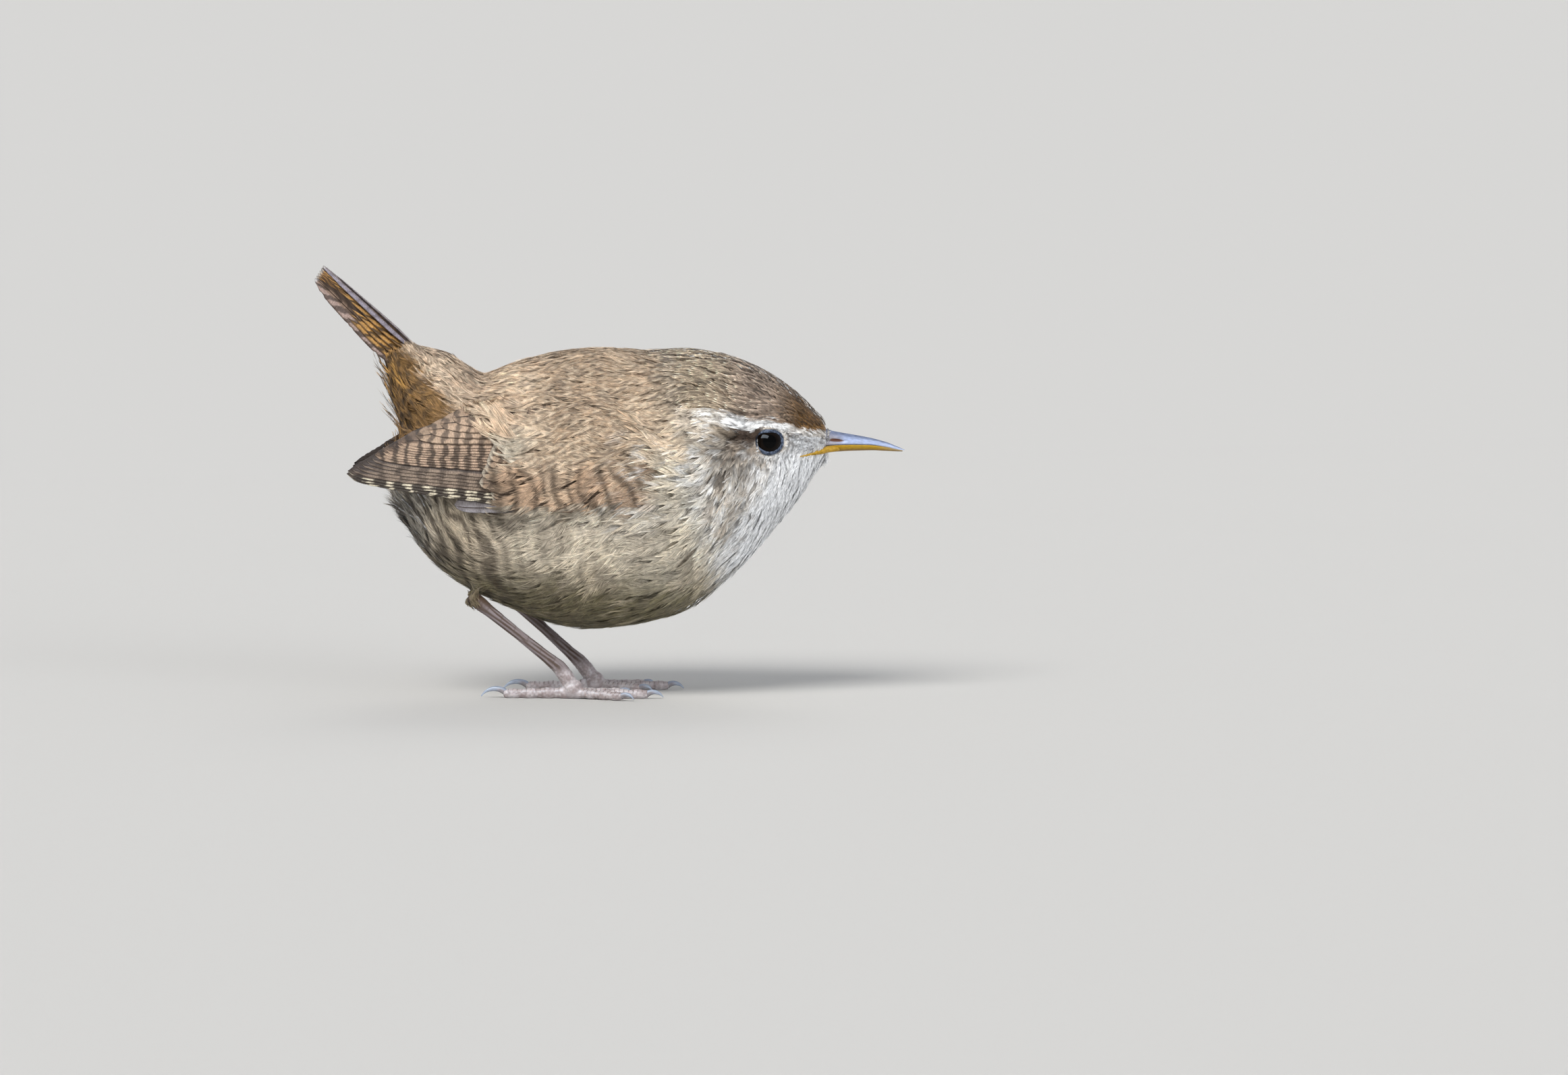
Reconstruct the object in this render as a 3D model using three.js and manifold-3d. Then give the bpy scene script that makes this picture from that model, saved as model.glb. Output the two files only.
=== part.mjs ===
// A Eurasian wren at life size, standing with its tail cocked, in millimetres.
// +X is towards the bill, +Y to the bird's left and +Z up. The feet stand on Z = 0.
// The plumage is one smooth form for small feathers, and separate overlapping vanes for
// the wing and tail feathers and their coverts.
import * as THREE from "three";
import { mergeVertices } from "three/addons/utils/BufferGeometryUtils.js";
import Module from "manifold-3d";

const wasm = await Module();
wasm.setup();

// Driving dimensions

const GAP = 0.3; // clear space between two pieces that meet
const CLOSE = 0.003; // points nearer to each other than this are one
const RIGHT = -1; // side of the body, as the sign of Y
const LEFT = 1;

// The body's outline at each station from rump to forehead. Heights are above the floor,
// and the widest point lies at a share of the height.
const BODY = {
  x: [-33.4, -32.1, -29.7, -26.1, -21, -15.3, -8.6, -1.4, 6.3, 12.2, 17.7, 22, 26, 29.3, 31.6, 33.6],
  top: [38.5, 41.2, 44.2, 47, 49.2, 51.8, 53.6, 54.3, 53.9, 54.3, 53.4, 51.9, 49.7, 47.2, 44.9, 42.9],
  bottom: [31, 27.6, 23.2, 19.3, 16, 13.5, 10.8, 10.2, 11.3, 13.1, 17.3, 21.6, 26.4, 30.4, 34.1, 36.5],
  half: [4.2, 7.8, 10.8, 13.2, 15, 16.1, 16.7, 16.8, 15.9, 14.2, 12, 10, 8.2, 6.6, 4.8, 3],
  widest: [0.5, 0.5, 0.5, 0.48, 0.47, 0.47, 0.47, 0.47, 0.47, 0.47, 0.48, 0.5, 0.5, 0.48, 0.46, 0.46],
};
const REAR_POLE = [-34.3, 34.8];
const FRONT_POLE = [34.95, 39.7];
const ROUNDNESS = 2.15; // exponent of every cross-section, where 2 is an ellipse
const BODY_SIDES = 24;
const RINGS_PER_STATION = 2;
const COARSE_SIDES = 18; // for cuts that nothing shows, which stay this much further clear
const COARSE_GAP = 0.25;

// The two cuts that part head, neck and torso: a point on each, and its lean from upright
const HEAD_CUT = { x: 12.8, z: 54, lean: 0.46 };
const NECK_CUT = { x: 6.2, z: 54, lean: 0.36 };

// Eyes and lids
const EYE = { x: 25.1, z: 39.95, radius: 2.1, inset: 1.15 };
const LID = { radius: 2.08, tube: 0.34, inset: 0.1 };

// Bill, from inside the face to the tip
const BILL = {
  x: [31.6, 34.1, 36.2, 38.5, 41, 43.3, 45.1],
  ridge: [42.3, 41.3, 40.85, 40.45, 39.95, 39.3, 38.55],
  mouth: [38.7, 38.95, 39.05, 39.05, 38.95, 38.6, 38.2],
  chin: [37.2, 37.75, 37.95, 38.05, 38.1, 38, 37.92],
  half: [2.1, 1.75, 1.4, 1.1, 0.82, 0.55, 0.3],
  tipX: 45.9,
  tipZ: 38.08,
  overbite: 0.3, // how far the upper tip passes the lower
  swell: 0.8, // below 1 the section is fuller than a half ellipse
};
const BILL_ARC = 6;
const NOSTRIL = { x: 35.6, y: 1.25, z: 40.05, length: 1.1, height: 0.32, depth: 0.6, slope: 0.12 };
const GAPE = { from: [34, 38.85], to: [28.2, 37.3], radius: 0.32, steps: 5 };

// The tail leans back from a root inside the rump. Places on it are measured along the
// axis from the root and upward across it.
const TAIL_ROOT = new THREE.Vector3(-22.4, 0, 40.8);
const TAIL_RISE = 0.835; // radians above level, pointing back
const TAIL_AXIS = new THREE.Vector3(-Math.cos(TAIL_RISE), 0, Math.sin(TAIL_RISE));
const TAIL_UP = new THREE.Vector3(Math.sin(TAIL_RISE), 0, Math.cos(TAIL_RISE));
const RUMP = {
  along: [0, 5.2, 7.7, 10, 12, 13.6, 15.4, 17],
  above: [9, 8.1, 7.5, 6.6, 5.5, 4.2, 3.4, 3],
  below: [9.5, 7.8, 6.7, 5.4, 4.1, 3.2, 2.1, 1],
  half: [10.5, 9.2, 7.9, 6.6, 5.2, 4.3, 3.5, 2.9],
};
const RUMP_SIDES = 16;
const RUMP_END = 0.8; // how far the rump's end bulges past its last section
const RECTRICES_PER_SIDE = 6;

// Tail feathers by pair, from the middle pair outward. Each pair lies lower and steeper than
// the one inside it. Out and up give a pair's place at its root and at its tip.
const RECTRIX = {
  root: 16, tip: 34.2, width: 1.95, thick: 0.55, widths: [0.8, 1, 0.9, 0.7, 0.2],
  steep: 0.3, steeper: 0.13, shorter: 0.12,
  out: [0.3, 0.85], outPerPair: [0.3, 0.78], up: [3, 1.15], downPerPair: [0.62, 0.4],
};

// Coverts over (from 0) and under (from half a turn) the tail's base, in rows along the rump
const TAIL_COVERTS = [
  { from: 0, count: 4, spread: 3.3, root: 6, tip: 14.8, width: 2.1, lift: 0.75, sunk: 2 },
  { from: 0, count: 3, spread: 3.3, root: 9, tip: 17.4, width: 1.9, lift: 0.4, sunk: 1.4 },
  { from: Math.PI, count: 3, spread: 3.3, root: 6, tip: 14.4, width: 2.1, lift: 0.7, sunk: 2 },
  { from: Math.PI, count: 3, spread: 3, root: 8.5, tip: 17.6, width: 1.9, lift: 0.4, sunk: 1.4 },
];
const COVERT = { shingle: 0.08, drawnIn: 0.5, tipSpread: 1.7, narrowest: 3 };

// Flight feathers, wing coverts and scapulars, each row counted from its lowest feather.
// A row gives the root and tip of its first and last feather as (x, z) on the wing.
const VANE_THICK = 0.55;
const SHINGLE = 0.22; // how far one edge of a vane stands above the other
const WING_ROWS = [
  {
    name: "primaries", count: 9, width: [1.7, 1.9], bow: 0.5, sunk: 0.2, lift: [0.5, 0.9],
    roots: [[-9, 31.1], [-10.5, 35.6]], tips: [[-36, 34.2], [-36.6, 37.6]], reach: 4.3,
  },
  {
    name: "secondaries", count: 6, width: [2.1, 2.3], bow: 0.7, sunk: 0.4, lift: [1, 1.2],
    roots: [[-8.5, 36.4], [-8.5, 40.6]], tips: [[-36, 38], [-31.5, 40.2]], reach: 0,
  },
  {
    name: "tertials", count: 3, width: [2.2, 2.2], bow: 0.7, sunk: 0.5, lift: [1.35, 1.45],
    roots: [[-8, 41], [-6, 43.4]], tips: [[-29.6, 40.8], [-24, 43.4]], reach: 0,
  },
  {
    name: "primary_coverts", count: 4, width: [1.5, 1.6], bow: 0.3, sunk: 0.6, lift: [0.9, 1.2],
    roots: [[-2, 30.4], [-3, 33.4]], tips: [[-16.5, 31.2], [-19.5, 34.2]], reach: 0,
  },
  {
    name: "greater_coverts", count: 7, width: [1.8, 1.9], bow: 0.4, sunk: 0.9, lift: [1.45, 1.7],
    roots: [[-5, 34.6], [-4.5, 42.6]], tips: [[-19, 35.4], [-18, 43.4]], reach: 0,
  },
  {
    name: "median_coverts", count: 6, width: [1.9, 2], bow: 0.3, sunk: 2.2, lift: [1.75, 1.9],
    roots: [[1.5, 33.4], [2, 42]], tips: [[-10.5, 34.2], [-11, 43]], reach: 0,
  },
  {
    name: "scapulars", count: 4, width: [1.9, 2], bow: 0.2, sunk: 2.6, lift: [1.8, 1.4],
    roots: [[1.2, 42.4], [-1, 44.6]], tips: [[-15.5, 43.6], [-17, 46]], reach: 0,
  },
];
const OUTER_PRIMARY = { root: [-6, 30.4], tip: [-23.6, 30.7], width: 1.3, bow: 0.2, lift: 0.55 };
const ALULA = { root: [0, 31.2], tip: [-9.5, 30.4], width: 1.3, bow: 0.2, lift: 1.3, sunk: 1.4 };

// The folded wing's curve at each station from shoulder to tip: how far out it stands, the
// height at which it stands furthest out, and from there to where it would meet the midline
const WING = {
  x: [6, -2, -10, -18, -26, -34, -42],
  half: [16.2, 17.1, 17.1, 16.5, 14.7, 11.8, 8.8],
  middle: [32, 31, 31.2, 32, 32.5, 33, 33.5],
  reach: [21.5, 23.4, 22.6, 20.8, 19, 18, 17.5],
};
const WING_PAD = { x: -3.8, z: 38.1, long: 10.7, high: 8.9, lean: 0.1, thick: 2.1, lift: -0.1 };

const THIGH_SIDES = 14;
const SHIN_SIDES = 10;
const TOE_SIDES = 8;
const CLAW_SIDES = 7;

// Legs: heel, foot joint and sole centre of each, then toes by length and heading
const LEGS = {
  right: {
    side: RIGHT, heel: [-20.8, 7.2, 15.4], joint: [-7.3, 7.3, 4.5], sole: [-5.6, 7.3, 1.5],
    knee: [-13.6, 8.6, 22.4],
  },
  left: {
    side: LEFT, heel: [-16.2, 7.6, 15], joint: [-4.4, 7.3, 4.1], sole: [-2.6, 7.3, 1.5],
    knee: [-9.6, 8.6, 21.4],
  },
};
// Shares of the way from heel to foot joint, and the shin's radius at each
const TARSUS = {
  along: [-0.06, 0.06, 0.18, 0.5, 0.82, 0.95],
  radii: [1.22, 1.22, 0.95, 0.8, 0.9, 1.12],
  intoFoot: [0.35, 0.85], // and from there shares of the way to the sole
  footRadii: [1.2, 1.2],
};
// Shares of the way from knee to heel and a little beyond, with radii
const THIGH = { along: [0, 0.35, 0.7, 0.9, 1, 1.12], radii: [4.6, 3.8, 2.2, 1.55, 1.45, 1.22] };
const SOLE = { radius: 1.62, height: 1.45 };
const TOES = [
  { name: "hind", heading: 176, length: 10.8, claw: 4.6, girth: 1 },
  { name: "inner", heading: 27, length: 8.2, claw: 2.7, girth: 0.88 },
  { name: "middle", heading: -3, length: 11.6, claw: 3.1, girth: 0.95 },
  { name: "outer", heading: -31, length: 9, claw: 2.7, girth: 0.88 },
];
const TOE_RADII = [0.95, 0.98, 0.76, 0.92, 0.72, 0.88, 0.7, 0.82, 0.62];
const TOE_AXIS_HEIGHT = 0.7; // the sole of each toe is cut flat at the floor below this
const TOE_ROOT_RISE = 0.25; // how much higher a toe's axis lies at the sole
const CLAW = { base: 0.52, tip: 0.12, sweep: 1.5, start: 0.5, flat: 0.86, clear: 0.12, steps: 5, out: 0.05 };

// Curves and small sums

// The value at place u along a list, on a Catmull-Rom curve through its numbers.
function smooth(list, u) {
  const i = Math.max(0, Math.min(Math.floor(u), list.length - 2));
  const t = u - i;
  const b = list[i];
  const c = list[i + 1];
  const a = i > 0 ? list[i - 1] : 2 * b - c;
  const d = i + 2 < list.length ? list[i + 2] : 2 * c - b;
  return b + 0.5 * t * (c - a + t * (2 * a - 5 * b + 4 * c - d + t * (3 * (b - c) + d - a)));
}

const mix = (a, b, t) => a + (b - a) * t;
const bend = (value, power) => Math.sign(value) * Math.abs(value) ** power;

// The distance from the middle at which a section as tall as 1 is met, at height share s.
const sectionShare = (s) => Math.max(0, 1 - Math.abs(s) ** ROUNDNESS) ** (1 / ROUNDNESS);

// Solids

function toSolid(geometry) {
  const bare = geometry.clone();
  bare.deleteAttribute("normal");
  bare.deleteAttribute("uv");
  const merged = mergeVertices(bare, 1e-4);
  const make = (triVerts) =>
    new wasm.Manifold(
      new wasm.Mesh({ numProp: 3, vertProperties: merged.attributes.position.array, triVerts }),
    );
  const corners = new Uint32Array(merged.index.array);
  const made = make(corners);
  if (made.volume() > 0) return made;
  for (let i = 0; i < corners.length; i += 3) {
    [corners[i + 1], corners[i + 2]] = [corners[i + 2], corners[i + 1]];
  }
  return make(corners);
}

// The largest closed surface of a solid, as a three.js geometry.
function toGeometry(solid) {
  const bodies = solid.decompose().sort((a, b) => b.volume() - a.volume());
  const mesh = bodies[0].getMesh();
  const places = new Float32Array(mesh.numVert * 3);
  for (let i = 0; i < mesh.numVert; i++) {
    places.set(mesh.vertProperties.subarray(i * mesh.numProp, i * mesh.numProp + 3), i * 3);
  }
  return withoutSlivers(
    new THREE.BufferGeometry()
      .setAttribute("position", new THREE.BufferAttribute(places, 3))
      .setIndex(new THREE.BufferAttribute(new Uint32Array(mesh.triVerts), 1)),
  );
}

// A mesh whose points closer than a hair's breadth are one, without the faces that closes up.
function withoutSlivers(geometry) {
  const merged = mergeVertices(geometry, CLOSE);
  const found = new Map();
  for (let i = 0; i < merged.index.count; i += 3) {
    const face = [0, 1, 2].map((k) => merged.index.getX(i + k));
    if (new Set(face).size < 3) continue;
    const key = [...face].sort((a, b) => a - b).join(" ");
    if (found.has(key)) found.delete(key);
    else found.set(key, face);
  }
  return merged.setIndex([...found.values()].flat());
}

const union = (solids) => solids.reduce((a, b) => a.add(b));

// A closed surface through rings of points, alike in number, from one pole to the other.
function skin(rings, firstPole, lastPole) {
  const sides = rings[0].length;
  const points = [firstPole, ...rings.flat(), lastPole];
  const last = points.length - 1;
  const faces = [];
  for (let k = 0; k < sides; k++) {
    const next = (k + 1) % sides;
    faces.push(0, 1 + next, 1 + k);
    faces.push(last, last - sides + k, last - sides + next);
    for (let r = 0; r + 1 < rings.length; r++) {
      const [a, b] = [1 + r * sides + k, 1 + r * sides + next];
      faces.push(a, b, a + sides, b, b + sides, a + sides);
    }
  }
  return new THREE.BufferGeometry()
    .setAttribute("position", new THREE.Float32BufferAttribute(points.flatMap((p) => [...p]), 3))
    .setIndex(faces);
}

// A round tube along points, with a radius at each and a pole at both ends.
function tube(points, radii, sides, flat = 1) {
  const rings = points.map((p, i) => {
    const before = points[Math.max(0, i - 1)];
    const after = points[Math.min(points.length - 1, i + 1)];
    const along = after.clone().sub(before).normalize();
    const across = new THREE.Vector3(-along.y, along.x, 0);
    if (across.length() < 1e-6) across.set(0, 1, 0);
    across.normalize();
    const up = new THREE.Vector3().crossVectors(along, across);
    return Array.from({ length: sides }, (_, k) => {
      const angle = (2 * Math.PI * k) / sides;
      return p
        .clone()
        .addScaledVector(across, radii[i] * Math.cos(angle))
        .addScaledVector(up, radii[i] * flat * Math.sin(angle));
    });
  });
  return skin(rings, points[0], points[points.length - 1]);
}

// A thin feather vane as one closed blade. The surface gives a point from two places on it
// and a lift off it, and both faces are split along the same diagonals. The root lies sunk
// by its own depth, under the row ahead.
const VANE_STATIONS = [0, 0.25, 0.6, 0.87, 1];
const VANE_WIDTHS = [0.5, 0.86, 1, 0.8, 0.2];
function vane(surface, root, tip, options) {
  const { width, bow, lift, sunk = 0, thick = VANE_THICK, shingle = SHINGLE } = options;
  const widths = options.widths ?? VANE_WIDTHS;
  const long = Math.hypot(tip[0] - root[0], tip[1] - root[1]);
  const along = [(tip[0] - root[0]) / long, (tip[1] - root[1]) / long];
  const across = [along[1], -along[0]];
  const points = VANE_STATIONS.flatMap((t, i) => {
    const arch = 4 * t * (1 - t) * bow;
    const p = root[0] + along[0] * long * t + across[0] * arch;
    const q = root[1] + along[1] * long * t + across[1] * arch;
    const half = width * widths[i];
    const depth = t === 1 ? thick / 2 : thick;
    const height = lift - sunk * (1 - t) ** 3;
    const edge = (sign, down) =>
      surface(p + across[0] * half * sign, q + across[1] * half * sign, height - shingle * sign - down);
    return [edge(-1, 0), edge(1, 0), edge(1, depth), edge(-1, depth)];
  });
  const faces = [0, 1, 2, 0, 2, 3];
  const end = points.length - 4;
  faces.push(end, end + 2, end + 1, end, end + 3, end + 2);
  for (let a = 0; a < end; a += 4) {
    faces.push(a, a + 4, a + 1, a + 1, a + 4, a + 5); // upper face
    faces.push(a + 3, a + 2, a + 7, a + 2, a + 6, a + 7); // lower face, on the same diagonal
    faces.push(a, a + 3, a + 4, a + 3, a + 7, a + 4);
    faces.push(a + 1, a + 5, a + 2, a + 2, a + 5, a + 6);
  }
  return toSolid(
    new THREE.BufferGeometry()
      .setAttribute("position", new THREE.Float32BufferAttribute(points.flatMap((p) => [...p]), 3))
      .setIndex(faces),
  );
}

// Body form

// The body's section at place u, grown outward on every side.
function bodySection(u, grow = 0) {
  const [x, top, bottom, half, share] = ["x", "top", "bottom", "half", "widest"].map((key) =>
    smooth(BODY[key], u),
  );
  const middle = mix(bottom, top, share);
  return { x, middle, up: top - middle + grow, down: middle - bottom + grow, half: half + grow };
}

function bodyForm(grow = 0, sides = BODY_SIDES, ringsPerStation = RINGS_PER_STATION) {
  const last = BODY.x.length - 1;
  const count = last * ringsPerStation;
  const rings = Array.from({ length: count + 1 }, (_, i) => {
    const s = bodySection((i / count) * last, grow);
    return Array.from({ length: sides }, (_, k) => {
      const angle = (2 * Math.PI * k) / sides;
      const rise = bend(Math.sin(angle), 2 / ROUNDNESS);
      return new THREE.Vector3(
        s.x,
        s.half * bend(Math.cos(angle), 2 / ROUNDNESS),
        s.middle + rise * (rise > 0 ? s.up : s.down),
      );
    });
  });
  return toSolid(
    skin(
      rings,
      new THREE.Vector3(REAR_POLE[0] - grow, 0, REAR_POLE[1]),
      new THREE.Vector3(FRONT_POLE[0] + grow, 0, FRONT_POLE[1]),
    ),
  );
}

// How far the body's side stands from the midline at a place seen from the side.
function bodySide(x, z) {
  let low = 0;
  let high = BODY.x.length - 1;
  for (let i = 0; i < 30; i++) {
    const u = (low + high) / 2;
    if (smooth(BODY.x, u) < x) low = u;
    else high = u;
  }
  const s = bodySection(low);
  return s.half * sectionShare((z - s.middle) / (z > s.middle ? s.up : s.down));
}

// The outward normal of the body's side there.
function bodyNormal(x, z, side) {
  const step = 0.2;
  const slope = (dx, dz) => (bodySide(x + dx, z + dz) - bodySide(x - dx, z - dz)) / (2 * step);
  return new THREE.Vector3(-slope(step, 0), side, -slope(0, step)).normalize();
}

// The part of a solid on one side of a leaning upright cut across the body.
function cutAt(solid, { x, z, lean }, forward) {
  const ahead = new THREE.Vector3(Math.cos(lean), 0, Math.sin(lean)).multiplyScalar(forward);
  const offset = ahead.x * x + ahead.z * z;
  return solid.trimByPlane(ahead.toArray(), offset + GAP / 2);
}

// Head, eyes and bill

function eyeCentre(side, inset = EYE.inset) {
  return new THREE.Vector3(EYE.x, side * bodySide(EYE.x, EYE.z), EYE.z).addScaledVector(
    bodyNormal(EYE.x, EYE.z, side),
    -inset,
  );
}

function ball(centre, radius, across, down) {
  return toSolid(new THREE.SphereGeometry(radius, across, down).translate(...centre));
}

function lidRing(side) {
  const centre = eyeCentre(side, LID.inset);
  const turn = new THREE.Quaternion().setFromUnitVectors(
    new THREE.Vector3(0, 0, 1),
    bodyNormal(EYE.x, EYE.z, side),
  );
  return toSolid(
    new THREE.TorusGeometry(LID.radius, LID.tube, 6, 16).applyQuaternion(turn).translate(...centre),
  );
}

// The line of the mouth, carried back from the bill into the cheek.
function gapeGroove(side) {
  const points = Array.from({ length: GAPE.steps + 1 }, (_, i) => {
    const x = mix(GAPE.from[0], GAPE.to[0], i / GAPE.steps);
    const z = mix(GAPE.from[1], GAPE.to[1], i / GAPE.steps);
    return new THREE.Vector3(x, side * bodySide(x, z), z);
  });
  return toSolid(tube(points, points.map(() => GAPE.radius), 6));
}

function head(form) {
  let made = cutAt(form, HEAD_CUT, 1);
  for (const side of [RIGHT, LEFT]) {
    made = made
      .add(lidRing(side))
      .subtract(ball(eyeCentre(side), EYE.radius + GAP, 16, 10))
      .subtract(gapeGroove(side));
  }
  return made;
}

// Half of the bill: a rounded outer side and a nearly flat side along the mouth.
function mandible(outer, upper) {
  const away = upper ? 1 : -1;
  const rings = BILL.x.map((x, i) => {
    const mouth = BILL.mouth[i] + (away * GAP) / 2;
    const ring = [];
    for (let k = 0; k <= BILL_ARC; k++) {
      const angle = (Math.PI * k) / BILL_ARC;
      const lift = Math.sin(angle) ** BILL.swell * (outer[i] - mouth);
      ring.push(new THREE.Vector3(x, BILL.half[i] * Math.cos(angle), mouth + lift));
    }
    ring.push(new THREE.Vector3(x, 0, mouth + 0.02 * away));
    return ring;
  });
  const base = new THREE.Vector3(BILL.x[0], 0, mix(BILL.mouth[0], outer[0], 0.5));
  const tip = new THREE.Vector3(BILL.tipX - (upper ? 0 : BILL.overbite), 0, BILL.tipZ + (away * GAP) / 2);
  return toSolid(skin(rings, base, tip));
}

function nostril(side) {
  const shape = new THREE.SphereGeometry(1, 10, 6)
    .scale(NOSTRIL.length, NOSTRIL.depth, NOSTRIL.height)
    .rotateY(NOSTRIL.slope)
    .translate(NOSTRIL.x, side * NOSTRIL.y, NOSTRIL.z);
  return toSolid(shape);
}

// Rump and tail

const tailPlace = (along, across, above) =>
  TAIL_ROOT.clone()
    .addScaledVector(TAIL_AXIS, along)
    .addScaledVector(TAIL_UP, above)
    .setY(across);

function rumpSection(along, grow = 0) {
  const found = RUMP.along.findIndex((a) => a >= along);
  const i = found < 0 ? RUMP.along.length - 1 : Math.max(1, found);
  const u = i - 1 + (along - RUMP.along[i - 1]) / (RUMP.along[i] - RUMP.along[i - 1]);
  const at = (key) => smooth(RUMP[key], Math.min(u, RUMP.along.length - 1)) + grow;
  return { above: at("above"), below: at("below"), half: at("half") };
}

// A point on the rump at an arc distance round it from the top, in millimetres.
function rumpPoint(along, arc, lift, from) {
  const s = rumpSection(Math.min(along, RUMP.along.at(-1)));
  const angle = Math.PI / 2 - from - arc / Math.max(s.half, COVERT.narrowest);
  const rise = Math.sin(angle);
  const above = rise > 0 ? s.above : s.below;
  return tailPlace(along, (s.half + lift) * Math.cos(angle), (above + lift) * rise);
}

function rumpForm(grow = 0) {
  const rings = RUMP.along.map((along) => {
    const s = rumpSection(along, grow);
    return Array.from({ length: RUMP_SIDES }, (_, k) => {
      const angle = (2 * Math.PI * k) / RUMP_SIDES;
      const rise = Math.sin(angle);
      return tailPlace(along, s.half * Math.cos(angle), rise * (rise > 0 ? s.above : s.below));
    });
  });
  const end = RUMP.along.at(-1);
  return toSolid(skin(rings, tailPlace(-1, 0, 0), tailPlace(end + RUMP_END + grow, 0, 1)));
}

// Coverts over and under the tail's base, as vanes that lie along the rump.
function tailCoverts() {
  return TAIL_COVERTS.flatMap((row) =>
    Array.from({ length: row.count }, (_, i) => {
      const place = i - (row.count - 1) / 2;
      const surface = (p, q, lift) => rumpPoint(p, q, lift, row.from);
      const { width, lift, sunk } = row;
      const options = { width, bow: 0, lift, sunk, shingle: COVERT.shingle };
      const tip = [row.tip - Math.abs(place) * COVERT.drawnIn, place * COVERT.tipSpread];
      return vane(surface, [row.root, place * row.spread], tip, options);
    }),
  );
}

// One tail feather.
function rectrix(pair, side) {
  const steep = RECTRIX.steep + RECTRIX.steeper * pair;
  const [rootOut, tipOut] = [0, 1].map((k) => RECTRIX.out[k] + RECTRIX.outPerPair[k] * pair);
  const [rootUp, tipUp] = [0, 1].map((k) => RECTRIX.up[k] - RECTRIX.downPerPair[k] * pair);
  const surface = (along, across, lift) => {
    const t = (along - RECTRIX.root) / (RECTRIX.tip - RECTRIX.root);
    return tailPlace(
      along,
      side * (mix(rootOut, tipOut, t) + across * Math.cos(steep) + lift * Math.sin(steep)),
      mix(rootUp, tipUp, t) - across * Math.sin(steep) + lift * Math.cos(steep),
    );
  };
  const { width, thick, widths } = RECTRIX;
  const options = { width, bow: 0, lift: 0, thick, shingle: 0, widths };
  return vane(surface, [RECTRIX.root, 0], [RECTRIX.tip - RECTRIX.shorter * pair, 0], options);
}

// The tail from the end of the rump onward.
function tail() {
  const feathers = [];
  for (let pair = 0; pair < RECTRICES_PER_SIDE; pair++) {
    feathers.push(rectrix(pair, RIGHT), rectrix(pair, LEFT));
  }
  const start = TAIL_ROOT.dot(TAIL_AXIS) + RUMP.along.at(-1) + RUMP_END + GAP;
  return union(feathers).trimByPlane(TAIL_AXIS.toArray(), start);
}

// Wings

// A point on the right wing's outer curve at a place seen from the side, lifted off it.
function wingPoint(x, z, lift) {
  const u = ((WING.x[0] - x) / (WING.x[0] - WING.x.at(-1))) * (WING.x.length - 1);
  const [half, middle, reach] = ["half", "middle", "reach"].map((key) => smooth(WING[key], u));
  const share = Math.max(-0.98, Math.min(0.98, (z - middle) / reach));
  const out = sectionShare(share);
  const normal = new THREE.Vector2(
    out ** (ROUNDNESS - 1) / half,
    bend(share, ROUNDNESS - 1) / reach,
  ).normalize();
  return new THREE.Vector3(x, -(half * out + lift * normal.x), z + lift * normal.y);
}

// The feathers of one row, from its lowest to its highest.
function wingRow(row) {
  return Array.from({ length: row.count }, (_, i) => {
    const t = i / (row.count - 1);
    const root = [0, 1].map((k) => mix(row.roots[0][k], row.roots[1][k], t));
    const tip = [0, 1].map((k) => mix(row.tips[0][k], row.tips[1][k], t));
    tip[0] -= row.reach * Math.sin(Math.PI * Math.sqrt(t)); // the middle feathers reach furthest
    const options = {
      width: mix(row.width[0], row.width[1], t),
      bow: row.bow,
      sunk: row.sunk,
      lift: mix(row.lift[0], row.lift[1], t),
    };
    return vane(wingPoint, root, tip, options);
  });
}

// The wing's fleshy part, a flattened pad that follows the wing's curve.
function wingPad() {
  const shape = new THREE.SphereGeometry(1, 16, 10);
  const places = shape.attributes.position;
  for (let i = 0; i < places.count; i++) {
    const [a, b, c] = [places.getX(i), places.getY(i), places.getZ(i)];
    const x = WING_PAD.x + a * WING_PAD.long - b * WING_PAD.high * Math.sin(WING_PAD.lean);
    const z = WING_PAD.z + b * WING_PAD.high + a * WING_PAD.long * Math.sin(WING_PAD.lean);
    const point = wingPoint(x, z, WING_PAD.lift + c * WING_PAD.thick);
    places.setXYZ(i, point.x, point.y, point.z);
  }
  return toSolid(shape);
}

function rightWing(bodyClear, rumpClear) {
  const single = [OUTER_PRIMARY, ALULA].map((f) => vane(wingPoint, f.root, f.tip, f));
  const feathers = [...single, ...WING_ROWS.flatMap(wingRow)];
  return union([wingPad(), ...feathers]).subtract(bodyClear).subtract(rumpClear);
}

// Legs

const place = (point, side) => new THREE.Vector3(point[0], side * point[1], point[2]);

function thigh(leg, bodyClear) {
  const knee = place(leg.knee, leg.side);
  const heel = place(leg.heel, leg.side);
  const points = THIGH.along.map((t) => knee.clone().lerp(heel, t));
  const form = toSolid(tube(points, THIGH.radii, THIGH_SIDES));
  return acrossLeg(form.subtract(bodyClear), leg, -1);
}

// The part of a leg above or below the heel's cut.
function acrossLeg(solid, leg, down) {
  const heel = place(leg.heel, leg.side);
  const shin = place(leg.joint, leg.side).sub(heel).normalize().multiplyScalar(down);
  return solid.trimByPlane(shin.toArray(), shin.dot(heel) + GAP / 2);
}

// The part of a leg above or below the cut at the foot joint.
function acrossAnkle(solid, leg, down) {
  const joint = place(leg.joint, leg.side);
  const way = joint.clone().sub(place(leg.heel, leg.side)).normalize().multiplyScalar(down);
  return solid.trimByPlane(way.toArray(), way.dot(joint) + GAP / 2);
}

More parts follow.
